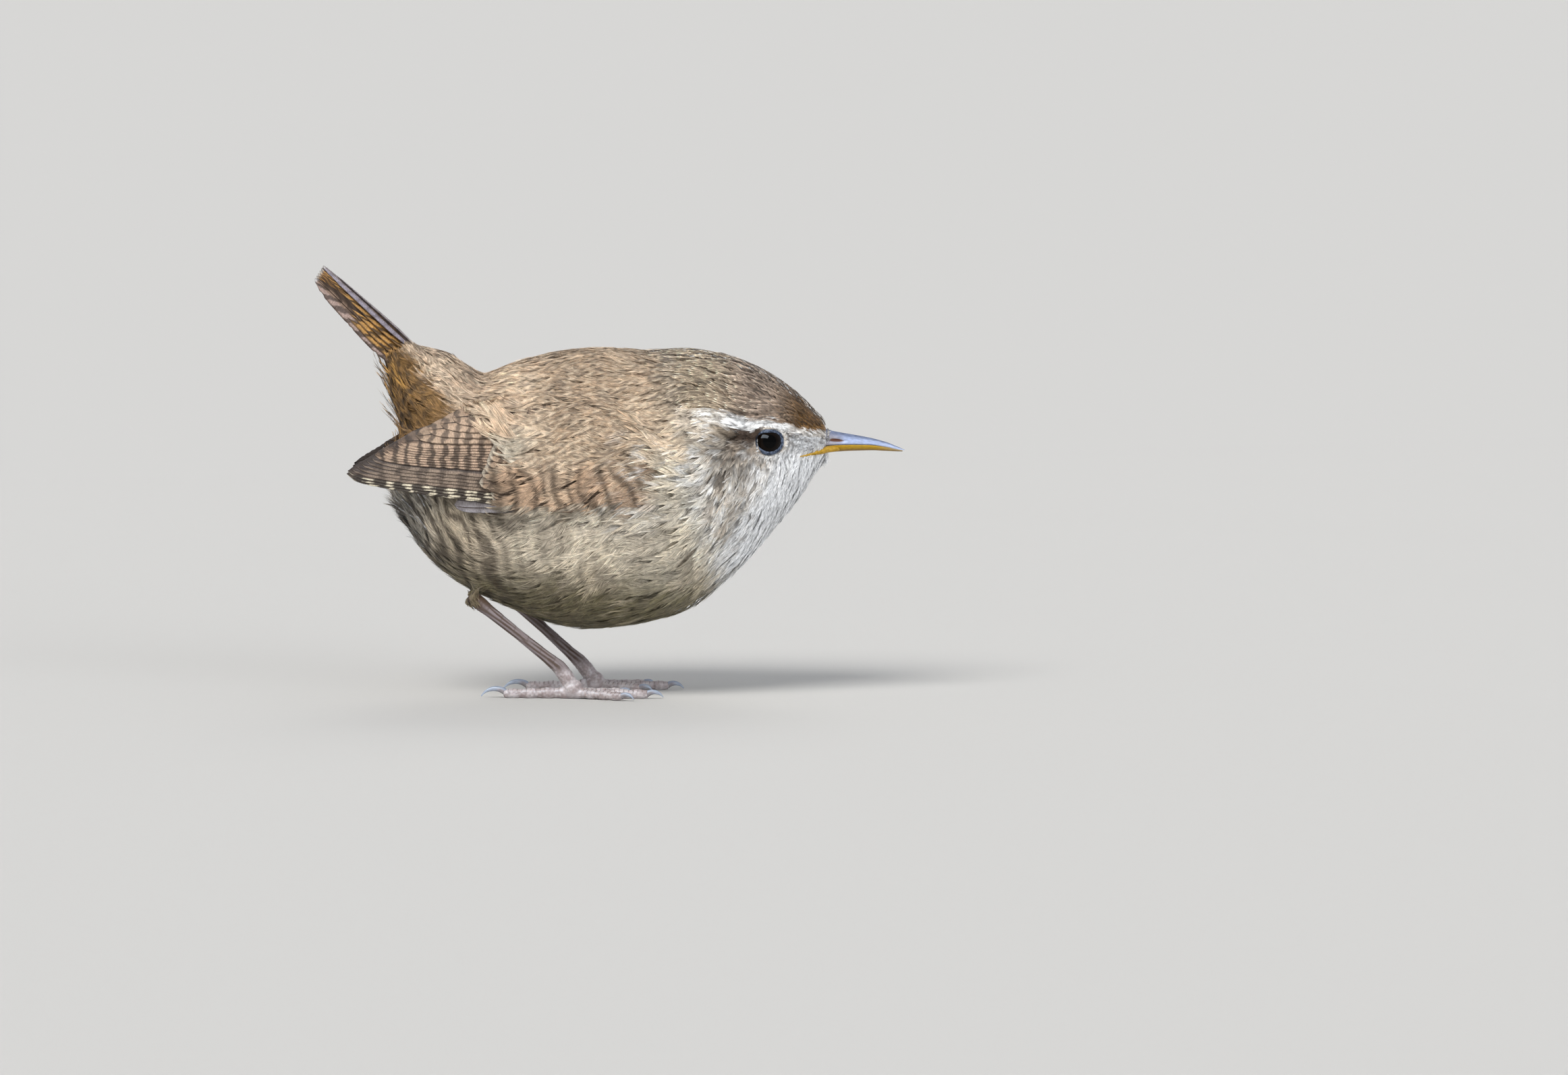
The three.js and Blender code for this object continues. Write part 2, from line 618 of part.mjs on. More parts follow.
// The scaled shin with its swollen joints, run on into the sole.
function shinForm(leg) {
  const heel = place(leg.heel, leg.side);
  const joint = place(leg.joint, leg.side);
  const sole = place(leg.sole, leg.side);
  const shin = TARSUS.along.map((t) => heel.clone().lerp(joint, t));
  const end = TARSUS.intoFoot.map((t) => joint.clone().lerp(sole, t));
  return toSolid(tube([...shin, ...end], [...TARSUS.radii, ...TARSUS.footRadii], SHIN_SIDES));
}

function toePath(leg, toe) {
  const heading = (toe.heading * Math.PI) / 180;
  const way = new THREE.Vector3(Math.cos(heading), leg.side * -Math.sin(heading), 0);
  const start = place(leg.sole, leg.side);
  const steps = TOE_RADII.length - 1;
  const points = TOE_RADII.map((_, i) => {
    const along = toe.length * (i / steps);
    const point = start.clone().addScaledVector(way, along);
    return point.setZ(TOE_AXIS_HEIGHT + TOE_ROOT_RISE * (1 - i / steps) ** 2);
  });
  return { points, way, end: points.at(-1) };
}

function foot(leg) {
  const sole = place(leg.sole, leg.side);
  const toes = TOES.map((toe) => {
    const { points } = toePath(leg, toe);
    return toSolid(tube(points, TOE_RADII.map((r) => r * toe.girth), TOE_SIDES));
  });
  const ankle = acrossAnkle(shinForm(leg), leg, 1);
  const pad = ball(sole.setZ(SOLE.height), SOLE.radius, 12, 8);
  return union([pad, ankle, ...toes]).trimByPlane([0, 0, 1], 0);
}

// A hooked claw that leaves the toe's upper end and curves down to just above the floor.
function claw(leg, toe) {
  const { way, end } = toePath(leg, toe);
  const radius = (toe.claw / CLAW.sweep) * CLAW.flat;
  const from = end.clone().setZ(TOE_AXIS_HEIGHT + CLAW.clear);
  const points = Array.from({ length: CLAW.steps + 1 }, (_, i) => {
    const angle = CLAW.sweep * (i / CLAW.steps) - CLAW.start;
    const along = radius * (Math.sin(angle) + Math.sin(CLAW.start)) + CLAW.out;
    const rise = radius * (Math.cos(angle) - Math.cos(CLAW.start));
    return from.clone().addScaledVector(way, along).add(new THREE.Vector3(0, 0, rise));
  });
  const lowest = Math.min(...points.map((p) => p.z));
  const shift = Math.max(0, CLAW.tip + CLAW.clear - lowest);
  for (const p of points) p.z += shift;
  const radii = points.map((_, i) => toe.girth * mix(CLAW.base, CLAW.tip, i / CLAW.steps));
  return toSolid(tube(points, radii, CLAW_SIDES));
}

// Colours

const finish = (color, roughness = 0.8) =>
  new THREE.MeshStandardMaterial({ color, roughness, metalness: 0 });
const PLUMAGE = {
  back: finish(0x8a6643),
  neck: finish(0x9c7d58),
  head: finish(0x8d7355),
  rump: finish(0x8f6238),
  tail: finish(0x8f5b2d, 0.65),
  wing: finish(0x7d5534, 0.65),
  thigh: finish(0x9b8763),
};
const HORN = finish(0x6e6672, 0.35);
const LOWER_BILL = finish(0xc09a4a, 0.4);
const SKIN = finish(0xb79a88, 0.5);
const NAIL = finish(0xa9a4ad, 0.3);
const BLACK = finish(0x0b0a0c, 0.08);

// Assembly

const group = new THREE.Group();

function add(name, solid, material) {
  const mesh = new THREE.Mesh(toGeometry(solid), material);
  mesh.name = name;
  group.add(mesh);
  return mesh;
}

// A copy of a piece on the other side of the body.
function addMirrored(name, mesh) {
  const geometry = mesh.geometry.clone().scale(1, -1, 1);
  add(name, toSolid(geometry), mesh.material);
}

const form = bodyForm();
const bodyClear = bodyForm(GAP);
const rumpClear = rumpForm(GAP);

const coarseClear = bodyForm(GAP + COARSE_GAP, COARSE_SIDES, 1);
const rump = union([rumpForm(), ...tailCoverts()]).subtract(coarseClear);
const headSolid = head(form);
add("torso", cutAt(form, NECK_CUT, -1), PLUMAGE.back);
add("neck", cutAt(cutAt(form, NECK_CUT, 1), HEAD_CUT, -1), PLUMAGE.neck);
add("head", headSolid, PLUMAGE.head);
add("rump", rump, PLUMAGE.rump);
add("tail", tail(), PLUMAGE.tail);

const upperBill = mandible(BILL.ridge, true).subtract(bodyClear);
add("bill_upper", upperBill.subtract(nostril(RIGHT)).subtract(nostril(LEFT)), HORN);
add("bill_lower", mandible(BILL.chin, false).subtract(bodyClear), LOWER_BILL);
add("eye_right", ball(eyeCentre(RIGHT), EYE.radius, 16, 10), BLACK);
add("eye_left", ball(eyeCentre(LEFT), EYE.radius, 16, 10), BLACK);

const wing = add("wing_right", rightWing(bodyClear, rumpClear), PLUMAGE.wing);
addMirrored("wing_left", wing);

for (const [name, leg] of Object.entries(LEGS)) {
  add("thigh_" + name, thigh(leg, bodyClear), PLUMAGE.thigh);
  const shin = acrossLeg(acrossAnkle(shinForm(leg), leg, -1), leg, 1).subtract(bodyClear);
  add("tarsus_" + name, shin, SKIN);
  const footMesh = add("foot_" + name, foot(leg), SKIN);
  const footSolid = toSolid(footMesh.geometry);
  for (const toe of TOES) {
    const { points, end, way } = toePath(leg, toe);
    const clearEnd = end.clone().addScaledVector(way, CLAW.out);
    const tip = ball(clearEnd, TOE_RADII.at(-1) * toe.girth + GAP, 10, 8);
    const clear = toSolid(tube(points, TOE_RADII.map((r) => r * toe.girth + GAP), TOE_SIDES));
    add(`claw_${name}_${toe.name}`, claw(leg, toe).subtract(tip).subtract(clear).subtract(footSolid), NAIL);
  }
}

// The bird's bounding box stands centred over the origin, with its bottom on the floor.
const middle = new THREE.Box3().setFromObject(group).getCenter(new THREE.Vector3());
for (const mesh of group.children) mesh.geometry.translate(-middle.x, 0, 0);

export default group;
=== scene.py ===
# A life-size Eurasian wren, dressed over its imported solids. Lengths below are in millimetres
# in the frame's own axes, +X towards the bill and +Z up, and become metres in the meshes.
import math

import bpy
import numpy as np
from mathutils import Matrix, Vector
from mathutils.bvhtree import BVHTree
from mathutils.kdtree import KDTree


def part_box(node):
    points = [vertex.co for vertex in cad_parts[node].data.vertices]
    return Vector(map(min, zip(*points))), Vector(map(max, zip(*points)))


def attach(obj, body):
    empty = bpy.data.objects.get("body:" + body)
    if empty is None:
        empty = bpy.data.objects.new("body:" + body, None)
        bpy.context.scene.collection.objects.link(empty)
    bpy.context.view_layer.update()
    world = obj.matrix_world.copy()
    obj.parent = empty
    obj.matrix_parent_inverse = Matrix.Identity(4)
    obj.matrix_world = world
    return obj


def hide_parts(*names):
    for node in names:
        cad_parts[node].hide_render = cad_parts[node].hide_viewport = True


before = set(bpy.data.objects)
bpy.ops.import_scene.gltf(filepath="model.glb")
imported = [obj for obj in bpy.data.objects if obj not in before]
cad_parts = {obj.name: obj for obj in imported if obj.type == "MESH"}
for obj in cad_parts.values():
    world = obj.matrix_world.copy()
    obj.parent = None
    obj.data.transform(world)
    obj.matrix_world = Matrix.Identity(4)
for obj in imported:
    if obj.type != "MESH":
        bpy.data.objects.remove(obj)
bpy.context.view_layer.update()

MM = 0.001
FULL_TURN = 2 * math.pi
rng = np.random.default_rng(11)
RIGHT = -1.0
LEFT = 1.0
SIDES = ((RIGHT, "right"), (LEFT, "left"))
UPRIGHT = np.array([0, 0, 1.0])

# Forms shared with the solids

WING = {
    "x": [6, -2, -10, -18, -26, -34, -42],
    "half": [16.2, 17.1, 17.1, 16.5, 14.7, 11.8, 8.8],
    "middle": [32, 31, 31.2, 32, 32.5, 33, 33.5],
    "reach": [21.5, 23.4, 22.6, 20.8, 19, 18, 17.5],
}
ROUNDNESS = 2.15
TAIL_RISE = 0.835
TAIL_ROOT = np.array([-22.4, 0, 40.8])
TAIL_AXIS = np.array([-math.cos(TAIL_RISE), 0, math.sin(TAIL_RISE)])
TAIL_UP = np.array([math.sin(TAIL_RISE), 0, math.cos(TAIL_RISE)])
BILL_BASE = np.array([34.4, 0, 39.6])
BILL_TIP_X = 45.9
BODY_MIDDLE_Z = 33.0
LEGS = {
    "right": dict(side=-1, knee=(-13.6, 8.6, 22.4), heel=(-20.8, 7.2, 15.4), joint=(-7.3, 7.3, 4.5),
                  sole=(-5.6, 7.3, 1.5)),
    "left": dict(side=1, knee=(-9.6, 8.6, 21.4), heel=(-16.2, 7.6, 15), joint=(-4.4, 7.3, 4.1),
                 sole=(-2.6, 7.3, 1.5)),
}
LEG_SHIFT_X = float(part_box("bill_upper")[1].x) / MM - BILL_TIP_X


# Small sums on arrays

def smooth(values, u):
    """The value at place u along a list, on a Catmull-Rom curve through its numbers."""
    v = np.asarray(values, float)
    u = np.asarray(u, float)
    i = np.clip(np.floor(u).astype(int), 0, len(v) - 2)
    t = u - i
    b, c = v[i], v[i + 1]
    a = np.where(i > 0, v[np.maximum(i - 1, 0)], 2 * b - c)
    d = np.where(i + 2 < len(v), v[np.minimum(i + 2, len(v) - 1)], 2 * c - b)
    return b + 0.5 * t * (c - a + t * (2 * a - 5 * b + 4 * c - d + t * (3 * (b - c) + d - a)))


def mix(a, b, t):
    return a + (b - a) * t


def step(low, high, value):
    """0 at low, 1 at high and a smooth rise between, in either order."""
    t = np.clip((value - low) / (high - low), 0, 1)
    return t * t * (3 - 2 * t)


def blend(colours, tone, weight):
    """Colours, one per point, moved towards one tone by each point's weight."""
    return colours + (np.asarray(tone) - colours) * weight[..., None]


def unit(v):
    return v / np.maximum(np.linalg.norm(v, axis=-1, keepdims=True), 1e-9)


def dot(a, b):
    return (a * b).sum(-1, keepdims=True)


def laid(way, normal):
    """Ways turned to lie along a surface with these normals."""
    return unit(way - normal * dot(way, normal))


def turns(count):
    """The angles of evenly spaced places round a circle."""
    return np.arange(count) * FULL_TURN / count


def heading(angle):
    return np.stack([np.cos(angle), np.sin(angle)], -1)


def circle(across, up, angle):
    """Points of a unit circle at each angle, between one pair of axes or many."""
    return across[..., None, :] * np.cos(angle)[:, None] + up[..., None, :] * np.sin(angle)[:, None]


def ripple(p, scale, seed):
    """A smooth random field from -1 to 1 over points, with waves about scale mm long."""
    local = np.random.default_rng(seed)
    total = np.zeros(p.shape[:-1])
    for _ in range(5):
        k = local.normal(size=3) * (FULL_TURN / scale) * 0.6
        total += np.sin(p @ k + local.uniform(0, FULL_TURN))
    return total / 2.6


def on_tail(p):
    """How far points lie along the tail from its root, and how far above its middle plane."""
    return (p - TAIL_ROOT) @ TAIL_AXIS, (p - TAIL_ROOT) @ TAIL_UP


def leg_point(leg, key):
    x, y, z = leg[key]
    return np.array([x + LEG_SHIFT_X, leg["side"] * y, z], float)


# Meshes

def make_mesh(name, verts, tris, material, layers=None, tint=None, uv=None):
    mesh = bpy.data.meshes.new(name)
    mesh.vertices.add(len(verts))
    mesh.vertices.foreach_set("co", (np.asarray(verts) * MM).astype(np.float32).ravel())
    tris = np.asarray(tris, np.int32)
    mesh.loops.add(tris.size)
    mesh.loops.foreach_set("vertex_index", tris.ravel())
    mesh.polygons.add(len(tris))
    mesh.polygons.foreach_set("loop_start", np.arange(0, tris.size, 3, dtype=np.int32))
    mesh.polygons.foreach_set("use_smooth", np.full(len(tris), True))
    mesh.update(calc_edges=True)
    if tint is not None:
        layer = mesh.color_attributes.new("tint", "FLOAT_COLOR", "POINT")
        rgba = np.ones((len(verts), 4), np.float32)
        rgba[:, :3] = tint
        layer.data.foreach_set("color", rgba.ravel())
    for key, values in (layers or {}).items():
        layer = mesh.attributes.new(key, "FLOAT", "POINT")
        layer.data.foreach_set("value", np.asarray(values, np.float32).ravel())
    if uv is not None:
        layer = mesh.uv_layers.new(name="OFBake")
        layer.data.foreach_set("uv", uv[tris.ravel()].astype(np.float32).ravel())
    mesh.materials.append(material)
    return linked(name, mesh)


def linked(name, data):
    """A new object in the scene for a mesh, light or camera."""
    obj = bpy.data.objects.new(name, data)
    bpy.context.collection.objects.link(obj)
    return obj


def add_piece(obj, slot, *nodes):
    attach(obj, "root")
    if nodes:
        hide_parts(*nodes)


def join_parts(parts):
    """One set of points and triangles from several."""
    verts, tris, count = [], [], 0
    for v, t in parts:
        verts.append(v)
        tris.append(np.asarray(t) + count)
        count += len(v)
    return np.concatenate(verts), np.concatenate(tris)


def mesh_part(mesh):
    """A mesh's points in millimetres and its triangles."""
    verts = np.empty(len(mesh.vertices) * 3)
    mesh.vertices.foreach_get("co", verts)
    mesh.calc_loop_triangles()
    tris = np.empty(len(mesh.loop_triangles) * 3, int)
    mesh.loop_triangles.foreach_get("vertices", tris)
    return verts.reshape(-1, 3) / MM, tris.reshape(-1, 3)


def node_part(name):
    return mesh_part(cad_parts[name].data)


def ring_faces(rings, sides):
    """Triangles over rings of points, each with the same number of sides, capped at both ends."""
    k = np.arange(sides)
    n = (k + 1) % sides
    faces = []
    for r in range(rings - 1):
        a, b = r * sides + k, r * sides + n
        faces += [np.stack([a, b, a + sides], 1), np.stack([b, b + sides, a + sides], 1)]
    fan = np.arange(1, sides - 1)
    end = (rings - 1) * sides
    faces.append(np.stack([0 * fan, fan + 1, fan], 1))
    faces.append(np.stack([end + 0 * fan, end + fan, end + fan + 1], 1))
    return np.concatenate(faces)


def tube_part(points, radii, sides):
    """A round closed tube along points with a radius at each."""
    points = np.asarray(points, float)
    along = unit(np.gradient(points, axis=0))
    across = np.stack([-along[:, 1], along[:, 0], 0 * along[:, 0]], 1)
    upright = np.linalg.norm(across, axis=1) < 1e-6
    across[upright] = [0, 1, 0]
    across = unit(across)
    ring = circle(across, np.cross(along, across), turns(sides))
    verts = points[:, None] + ring * np.asarray(radii)[:, None, None]
    return verts.reshape(-1, 3), ring_faces(len(points), sides)


def ball_part(centre, radius, axes=np.eye(3), across=28, down=18):
    """A ball whose poles lie on the third of its axes."""
    theta = (np.arange(down) + 0.5) * math.pi / down
    middles = axes[2] * radius * np.cos(theta)[:, None] + np.asarray(centre)
    flat = circle(axes[0], axes[1], turns(across))
    verts = middles[:, None] + flat[None] * (radius * np.sin(theta))[:, None, None]
    return verts.reshape(-1, 3), ring_faces(down, across)[:, ::-1]


def ring_part(centre, axis, reach, thick, rise):
    """A round ring about an axis, with the reach, thickness and rise given at each of its steps."""
    sides, steps = 12, len(reach)
    across = unit(np.cross(axis, UPRIGHT))
    across = across * np.sign(across[0])
    ring = circle(across, unit(UPRIGHT - axis * axis[2]), turns(steps))
    section = circle(ring, axis, turns(sides))
    middle = centre + ring * reach[:, None] + axis * np.broadcast_to(rise, steps)[:, None]
    verts = middle[:, None] + section * thick[:, None, None]
    k = np.arange(sides)
    n = (k + 1) % sides
    faces = []
    for r in range(steps):
        a, b = r * sides, (r + 1) % steps * sides
        faces += [np.stack([a + k, a + n, b + k], 1), np.stack([a + n, b + n, b + k], 1)]
    faces = np.concatenate(faces)
    outward = np.dot(np.cross(ring[0], ring[1]), axis) < 0
    return verts.reshape(-1, 3), faces if outward else faces[:, ::-1], ring


def remeshed(parts, voxel, relax_steps):
    """One closed surface around several closed parts: its points, triangles and edges."""
    verts, tris = join_parts(parts)
    plain = bpy.data.materials.new("scratch")
    obj = make_mesh("scratch", verts, tris, plain)
    modifier = obj.modifiers.new("remesh", "REMESH")
    modifier.mode = "VOXEL"
    modifier.voxel_size = voxel * MM
    graph = bpy.context.evaluated_depsgraph_get()
    mesh = bpy.data.meshes.new_from_object(obj.evaluated_get(graph))
    edges = np.empty(len(mesh.edges) * 2, int)
    mesh.edges.foreach_get("vertices", edges)
    edges = edges.reshape(-1, 2)
    points, tris = mesh_part(mesh)
    bpy.data.objects.remove(obj)
    bpy.data.meshes.remove(mesh)
    bpy.data.materials.remove(plain)
    return relaxed(points, edges, relax_steps), tris, edges


def relaxed(points, edges, steps):
    """Points eased half way towards the middle of their neighbours, step after step."""
    ends = np.concatenate([edges[:, 0], edges[:, 1]])
    others = np.concatenate([edges[:, 1], edges[:, 0]])
    count = np.bincount(ends, minlength=len(points))[:, None]
    for _ in range(steps):
        total = np.stack([np.bincount(ends, points[others, k], len(points)) for k in range(3)], 1)
        points = mix(points, total / np.maximum(count, 1), 0.5)
    return points


def point_normals(points, tris):
    cross = np.cross(points[tris[:, 1]] - points[tris[:, 0]], points[tris[:, 2]] - points[tris[:, 0]])
    normals = np.zeros_like(points)
    for k in range(3):
        np.add.at(normals, tris[:, k], cross)
    return unit(normals)


def point_tree(points):
    tree = KDTree(len(points))
    for i, p in enumerate(points):
        tree.insert(p, i)
    tree.balance()
    return tree


def spaced(points, gaps, order):
    """Which points to keep, taken in order, so that each has its own gap round it."""
    tree = point_tree(points)
    free = np.ones(len(points), bool)
    chosen = []
    for i in order:
        if free[i]:
            chosen.append(i)
            for _, j, _ in tree.find_range(points[i], gaps[i]):
                free[j] = False
    return chosen


class Envelope:
    """A form that feathers lie along, for finding the nearest place on it."""

    def __init__(self, points, tris):
        self.points = points
        self.tris = tris
        self.normals = point_normals(points, tris)
        self.tree = BVHTree.FromPolygons(points.tolist(), tris.tolist())

    def nearest(self, places):
        """The nearest places on the form, with its normals there."""
        flat = places.reshape(-1, 3)
        found = np.empty_like(flat)
        faces = np.empty(len(flat), int)
        for i, p in enumerate(flat):
            hit = self.tree.find_nearest(Vector(p))
            found[i] = hit[0]
            faces[i] = hit[2]
        corners = self.tris[faces]
        reach = np.linalg.norm(self.points[corners] - found[:, None], axis=2)
        weight = 1 / (reach + 0.02)
        normals = unit((self.normals[corners] * weight[..., None]).sum(1))
        return found.reshape(places.shape), normals.reshape(places.shape)

    def scattered(self, count, keep, gaps):
        """Places spread over the form where keep says so, each with its own gap round it, or one
        gap for all."""
        a, b, c = (self.points[self.tris[:, k]] for k in range(3))
        area = np.linalg.norm(np.cross(b - a, c - a), axis=1)
        face = rng.choice(len(self.tris), count, p=area / area.sum())
        u = np.sqrt(rng.random(count))[:, None]
        v = rng.random(count)[:, None]
        spots = (1 - u) * a[face] + u * (1 - v) * b[face] + u * v * c[face]
        spots = spots[keep(spots)]
        gap = gaps(spots) if callable(gaps) else np.full(len(spots), gaps)
        return self.nearest(spots[spaced(spots, gap, range(len(spots)))])


# Materials

def new_material(name):
    material = bpy.data.materials.new(name)
    material.use_nodes = True
    tree = material.node_tree
    return material, tree, tree.nodes["Principled BSDF"]


def set_values(shader, **values):
    for key, value in values.items():
        shader.inputs[key.replace("_", " ")].default_value = value


def paint(tree, shader, colour, **values):
    tree.links.new(colour, shader.inputs["Base Color"])
    set_values(shader, **values)


def node(tree, kind, inputs=None, **settings):
    made = tree.nodes.new("ShaderNode" + kind)
    for key, value in settings.items():
        setattr(made, key, value)
    for key, value in (inputs or {}).items():
        if isinstance(value, bpy.types.NodeSocket):
            tree.links.new(value, made.inputs[key])
        else:
            made.inputs[key].default_value = value
    return made


def math_node(tree, operation, a, b=0.0):
    return node(tree, "Math", {0: a, 1: b}, operation=operation).outputs[0]


def times(tree, a, b):
    return math_node(tree, "MULTIPLY", a, b)


def plus(tree, a, b):
    return math_node(tree, "ADD", a, b)


def wave(tree, value, pitch):
    return math_node(tree, "SINE", times(tree, value, FULL_TURN / pitch))


def ranged(tree, value, low, high, to_low=0.0, to_high=1.0):
    inputs = {"Value": value, "From Min": low, "From Max": high, "To Min": to_low, "To Max": to_high}
    return node(tree, "MapRange", inputs, interpolation_type="SMOOTHSTEP").outputs[0]


def layer(tree, name, output="Fac"):
    """A value or colour that the mesh holds at each of its points."""
    return node(tree, "Attribute", attribute_name=name).outputs[output]


def mixed(tree, factor, a, b, kind="MIX"):
    inputs = {0: factor}
    for index, value in ((6, a), (7, b)):
        inputs[index] = value if isinstance(value, bpy.types.NodeSocket) else (*value, 1)
    return node(tree, "Mix", inputs, data_type="RGBA", blend_type=kind).outputs[2]


def shaded(tree, colour, value):
    grey = node(tree, "CombineColor", {0: value, 1: value, 2: value}).outputs[0]
    return mixed(tree, 1.0, colour, grey, "MULTIPLY")


def noise(tree, scale, detail=2.0):
    """Noise over the object's own coordinates, with scale in waves per millimetre."""
    place = node(tree, "TexCoord").outputs["Object"]
    return node(tree, "TexNoise", {"Scale": scale / MM, "Detail": detail, "Vector": place}).outputs["Fac"]


def streaks(tree, x, stretch, y):
    """Noise drawn out into lines by x's stretch."""
    place = node(tree, "CombineXYZ", {0: times(tree, x, stretch), 1: y}).outputs[0]
    return node(tree, "TexNoise", {"Vector": place, "Scale": 6.0, "Detail": 3.0}).outputs["Fac"]


def bump(tree, shader, height, distance, strength):
    made = node(tree, "Bump", {"Height": height, "Distance": distance * MM, "Strength": strength})
    tree.links.new(made.outputs[0], shader.inputs["Normal"])


def coat_material(name, roughness, spread):
    """Barbs whose colour is each point's own tint, mottled at two sizes."""
    material, tree, shader = new_material(name)
    fine = ranged(tree, noise(tree, 2.2), 0.3, 0.7, 1 - spread, 1 + spread)
    broad = ranged(tree, noise(tree, 0.25), 0.3, 0.7, 0.92, 1.08)
    colour = shaded(tree, layer(tree, "tint", "Color"), times(tree, fine, broad))
    paint(tree, shader, colour, Roughness=roughness, Specular_IOR_Level=0.1, Sheen_Weight=0.12,
          Sheen_Roughness=0.5)
    return material


BLACK_BAR = (0.035, 0.025, 0.02)
SHAFT_TONE = (0.035, 0.02, 0.013)
INNER_TONE = (0.045, 0.03, 0.022)
RIM_PAINTED_SHADOW = (0.06, 0.04, 0.03)
BARB_PITCH = 0.17


def vane_material(
    name, ground, outer, pitch, width, skew, strength, bar=BLACK_BAR, tip=None, inner=0.85,
    web=(-0.2, -0.42),
):
    """A flight feather's vane: bars counted from its tip, an outer web of its own tone, the dark
    shaft, the inner web, a painted shadow along the rim, and fine barbs that slant from the shaft."""
    material, tree, shader = new_material(name)
    along, across, offset, value = (layer(tree, k) for k in ("along", "across", "offset", "value"))
    side = math_node(tree, "ABSOLUTE", across)
    wobble = times(tree, math_node(tree, "SUBTRACT", noise(tree, 0.8), 0.5), 0.9)
    place = plus(tree, math_node(tree, "DIVIDE", along, pitch), times(tree, side, skew))
    place = plus(tree, plus(tree, place, wobble), offset)
    bars = times(tree, ranged(tree, wave(tree, place, 1), width - 0.75, width + 0.6), strength)
    colour = mixed(tree, ranged(tree, across, *web), ground, outer)
    colour = mixed(tree, bars, colour, bar)
    if tip is not None:
        colour = mixed(tree, ranged(tree, along, 0.8, 0.2), colour, tip)
    lines = ranged(tree, streaks(tree, side, 0.5, along), 0.25, 0.75, 0.66, 1.26)
    colour = shaded(tree, colour, times(tree, lines, value))
    colour = mixed(tree, ranged(tree, side, 0.08, 0.03), colour, SHAFT_TONE)
    colour = mixed(tree, ranged(tree, across, 0.05, 0.45, 0.0, inner), colour, INNER_TONE)
    # a dark band along the outer rim: painted shadow where the next feather lies over it
    colour = mixed(tree, ranged(tree, across, -0.8, -0.98, 0.0, 0.75), colour, RIM_PAINTED_SHADOW)
    slanted = math_node(tree, "SUBTRACT", along, times(tree, side, 1.5))
    bump(tree, shader, wave(tree, slanted, BARB_PITCH), 0.015, 0.8)
    paint(tree, shader, colour, Roughness=0.55, Specular_IOR_Level=0.12)
    return material


def horn_material(name, tones, top, places, roughness, spread, pit=None):
    """Horn that changes tone along its length and on top, with faint streaks that run with it."""
    material, tree, shader = new_material(name)
    along, height = layer(tree, "along"), layer(tree, "height")
    colour = tones[0]
    for tone, place in zip(tones[1:], places):
        colour = mixed(tree, ranged(tree, along, *place), colour, tone)
    colour = mixed(tree, ranged(tree, height, 0.45, 0.95), colour, top)
    lines = ranged(tree, streaks(tree, along, 0.25, height), 0.25, 0.75, 1 - spread, 1 + spread)
    colour = shaded(tree, colour, lines)
    if pit is not None:
        colour = mixed(tree, ranged(tree, layer(tree, "pit"), 0.25, 0.7), colour, pit)
    bump(tree, shader, noise(tree, 3.0), 0.02, 0.4)
    paint(tree, shader, colour, Roughness=roughness, Specular_IOR_Level=0.25)
    return material


def leg_material():
    """Scaled skin: brown streaks down the shin, paler on the foot, darker in the grooves."""
    material, tree, shader = new_material("leg_skin")
    mottle = ranged(tree, noise(tree, 0.7, 3.0), 0.35, 0.65)
    foot = mixed(tree, mottle, (0.33, 0.28, 0.28), (0.50, 0.46, 0.47))
    colour = mixed(tree, layer(tree, "grain"), (0.095, 0.066, 0.054), (0.24, 0.205, 0.21))
    colour = mixed(tree, layer(tree, "foot"), colour, foot)
    colour = mixed(tree, layer(tree, "top"), colour, (0.085, 0.052, 0.03))
    colour = mixed(tree, layer(tree, "groove"), colour, (0.085, 0.058, 0.045))
    bump(tree, shader, noise(tree, 5.0, 3.0), 0.02, 0.4)
    paint(tree, shader, colour, Roughness=0.36, Specular_IOR_Level=0.22, Subsurface_Weight=0.08,
          Subsurface_Radius=(0.0012, 0.0005, 0.0003), Subsurface_Scale=1.0)
    return material


def eye_material():
    """A wet dark eye: black pupil and a hair of dark brown iris."""
    material, tree, shader = new_material("eye")
    iris = ranged(tree, layer(tree, "out"), 0.88, 0.84)
    colour = mixed(tree, iris, (0.001, 0.001, 0.001), (0.005, 0.003, 0.002))
    paint(tree, shader, colour, Roughness=0.05, Specular_IOR_Level=0.08)
    return material


def plain_material(name, low, high, scale):
    """A surface mottled between two tones, with a fine grain."""
    material, tree, shader = new_material(name)
    colour = mixed(tree, ranged(tree, noise(tree, scale, 3.0), 0.35, 0.65), low, high)
    bump(tree, shader, noise(tree, scale * 4), 0.02, 0.5)
    paint(tree, shader, colour, Roughness=0.4, Specular_IOR_Level=0.12)
    return material


# Surfaces that the wing's and tail's feathers lie on

def wing_place(x, z, lift, side):
    u = (WING["x"][0] - x) / (WING["x"][0] - WING["x"][-1]) * (len(WING["x"]) - 1)
    half, middle, reach = (smooth(WING[key], u) for key in ("half", "middle", "reach"))
    share = np.clip((z - middle) / reach, -0.98, 0.98)
    out = np.maximum(0, 1 - np.abs(share) ** ROUNDNESS) ** (1 / ROUNDNESS)
    ny = out ** (ROUNDNESS - 1) / half
    nz = np.sign(share) * np.abs(share) ** (ROUNDNESS - 1) / reach
    size = np.hypot(ny, nz)
    return np.stack([x + 0 * out, side * (half * out + lift * ny / size), z + lift * nz / size], -1)


def tail_place(along, across, above):
    point = TAIL_ROOT + along[..., None] * TAIL_AXIS + above[..., None] * TAIL_UP
    point[..., 1] = across
    return point


# The line where the crown ends and the pale brow begins, and how deep the brow is below it

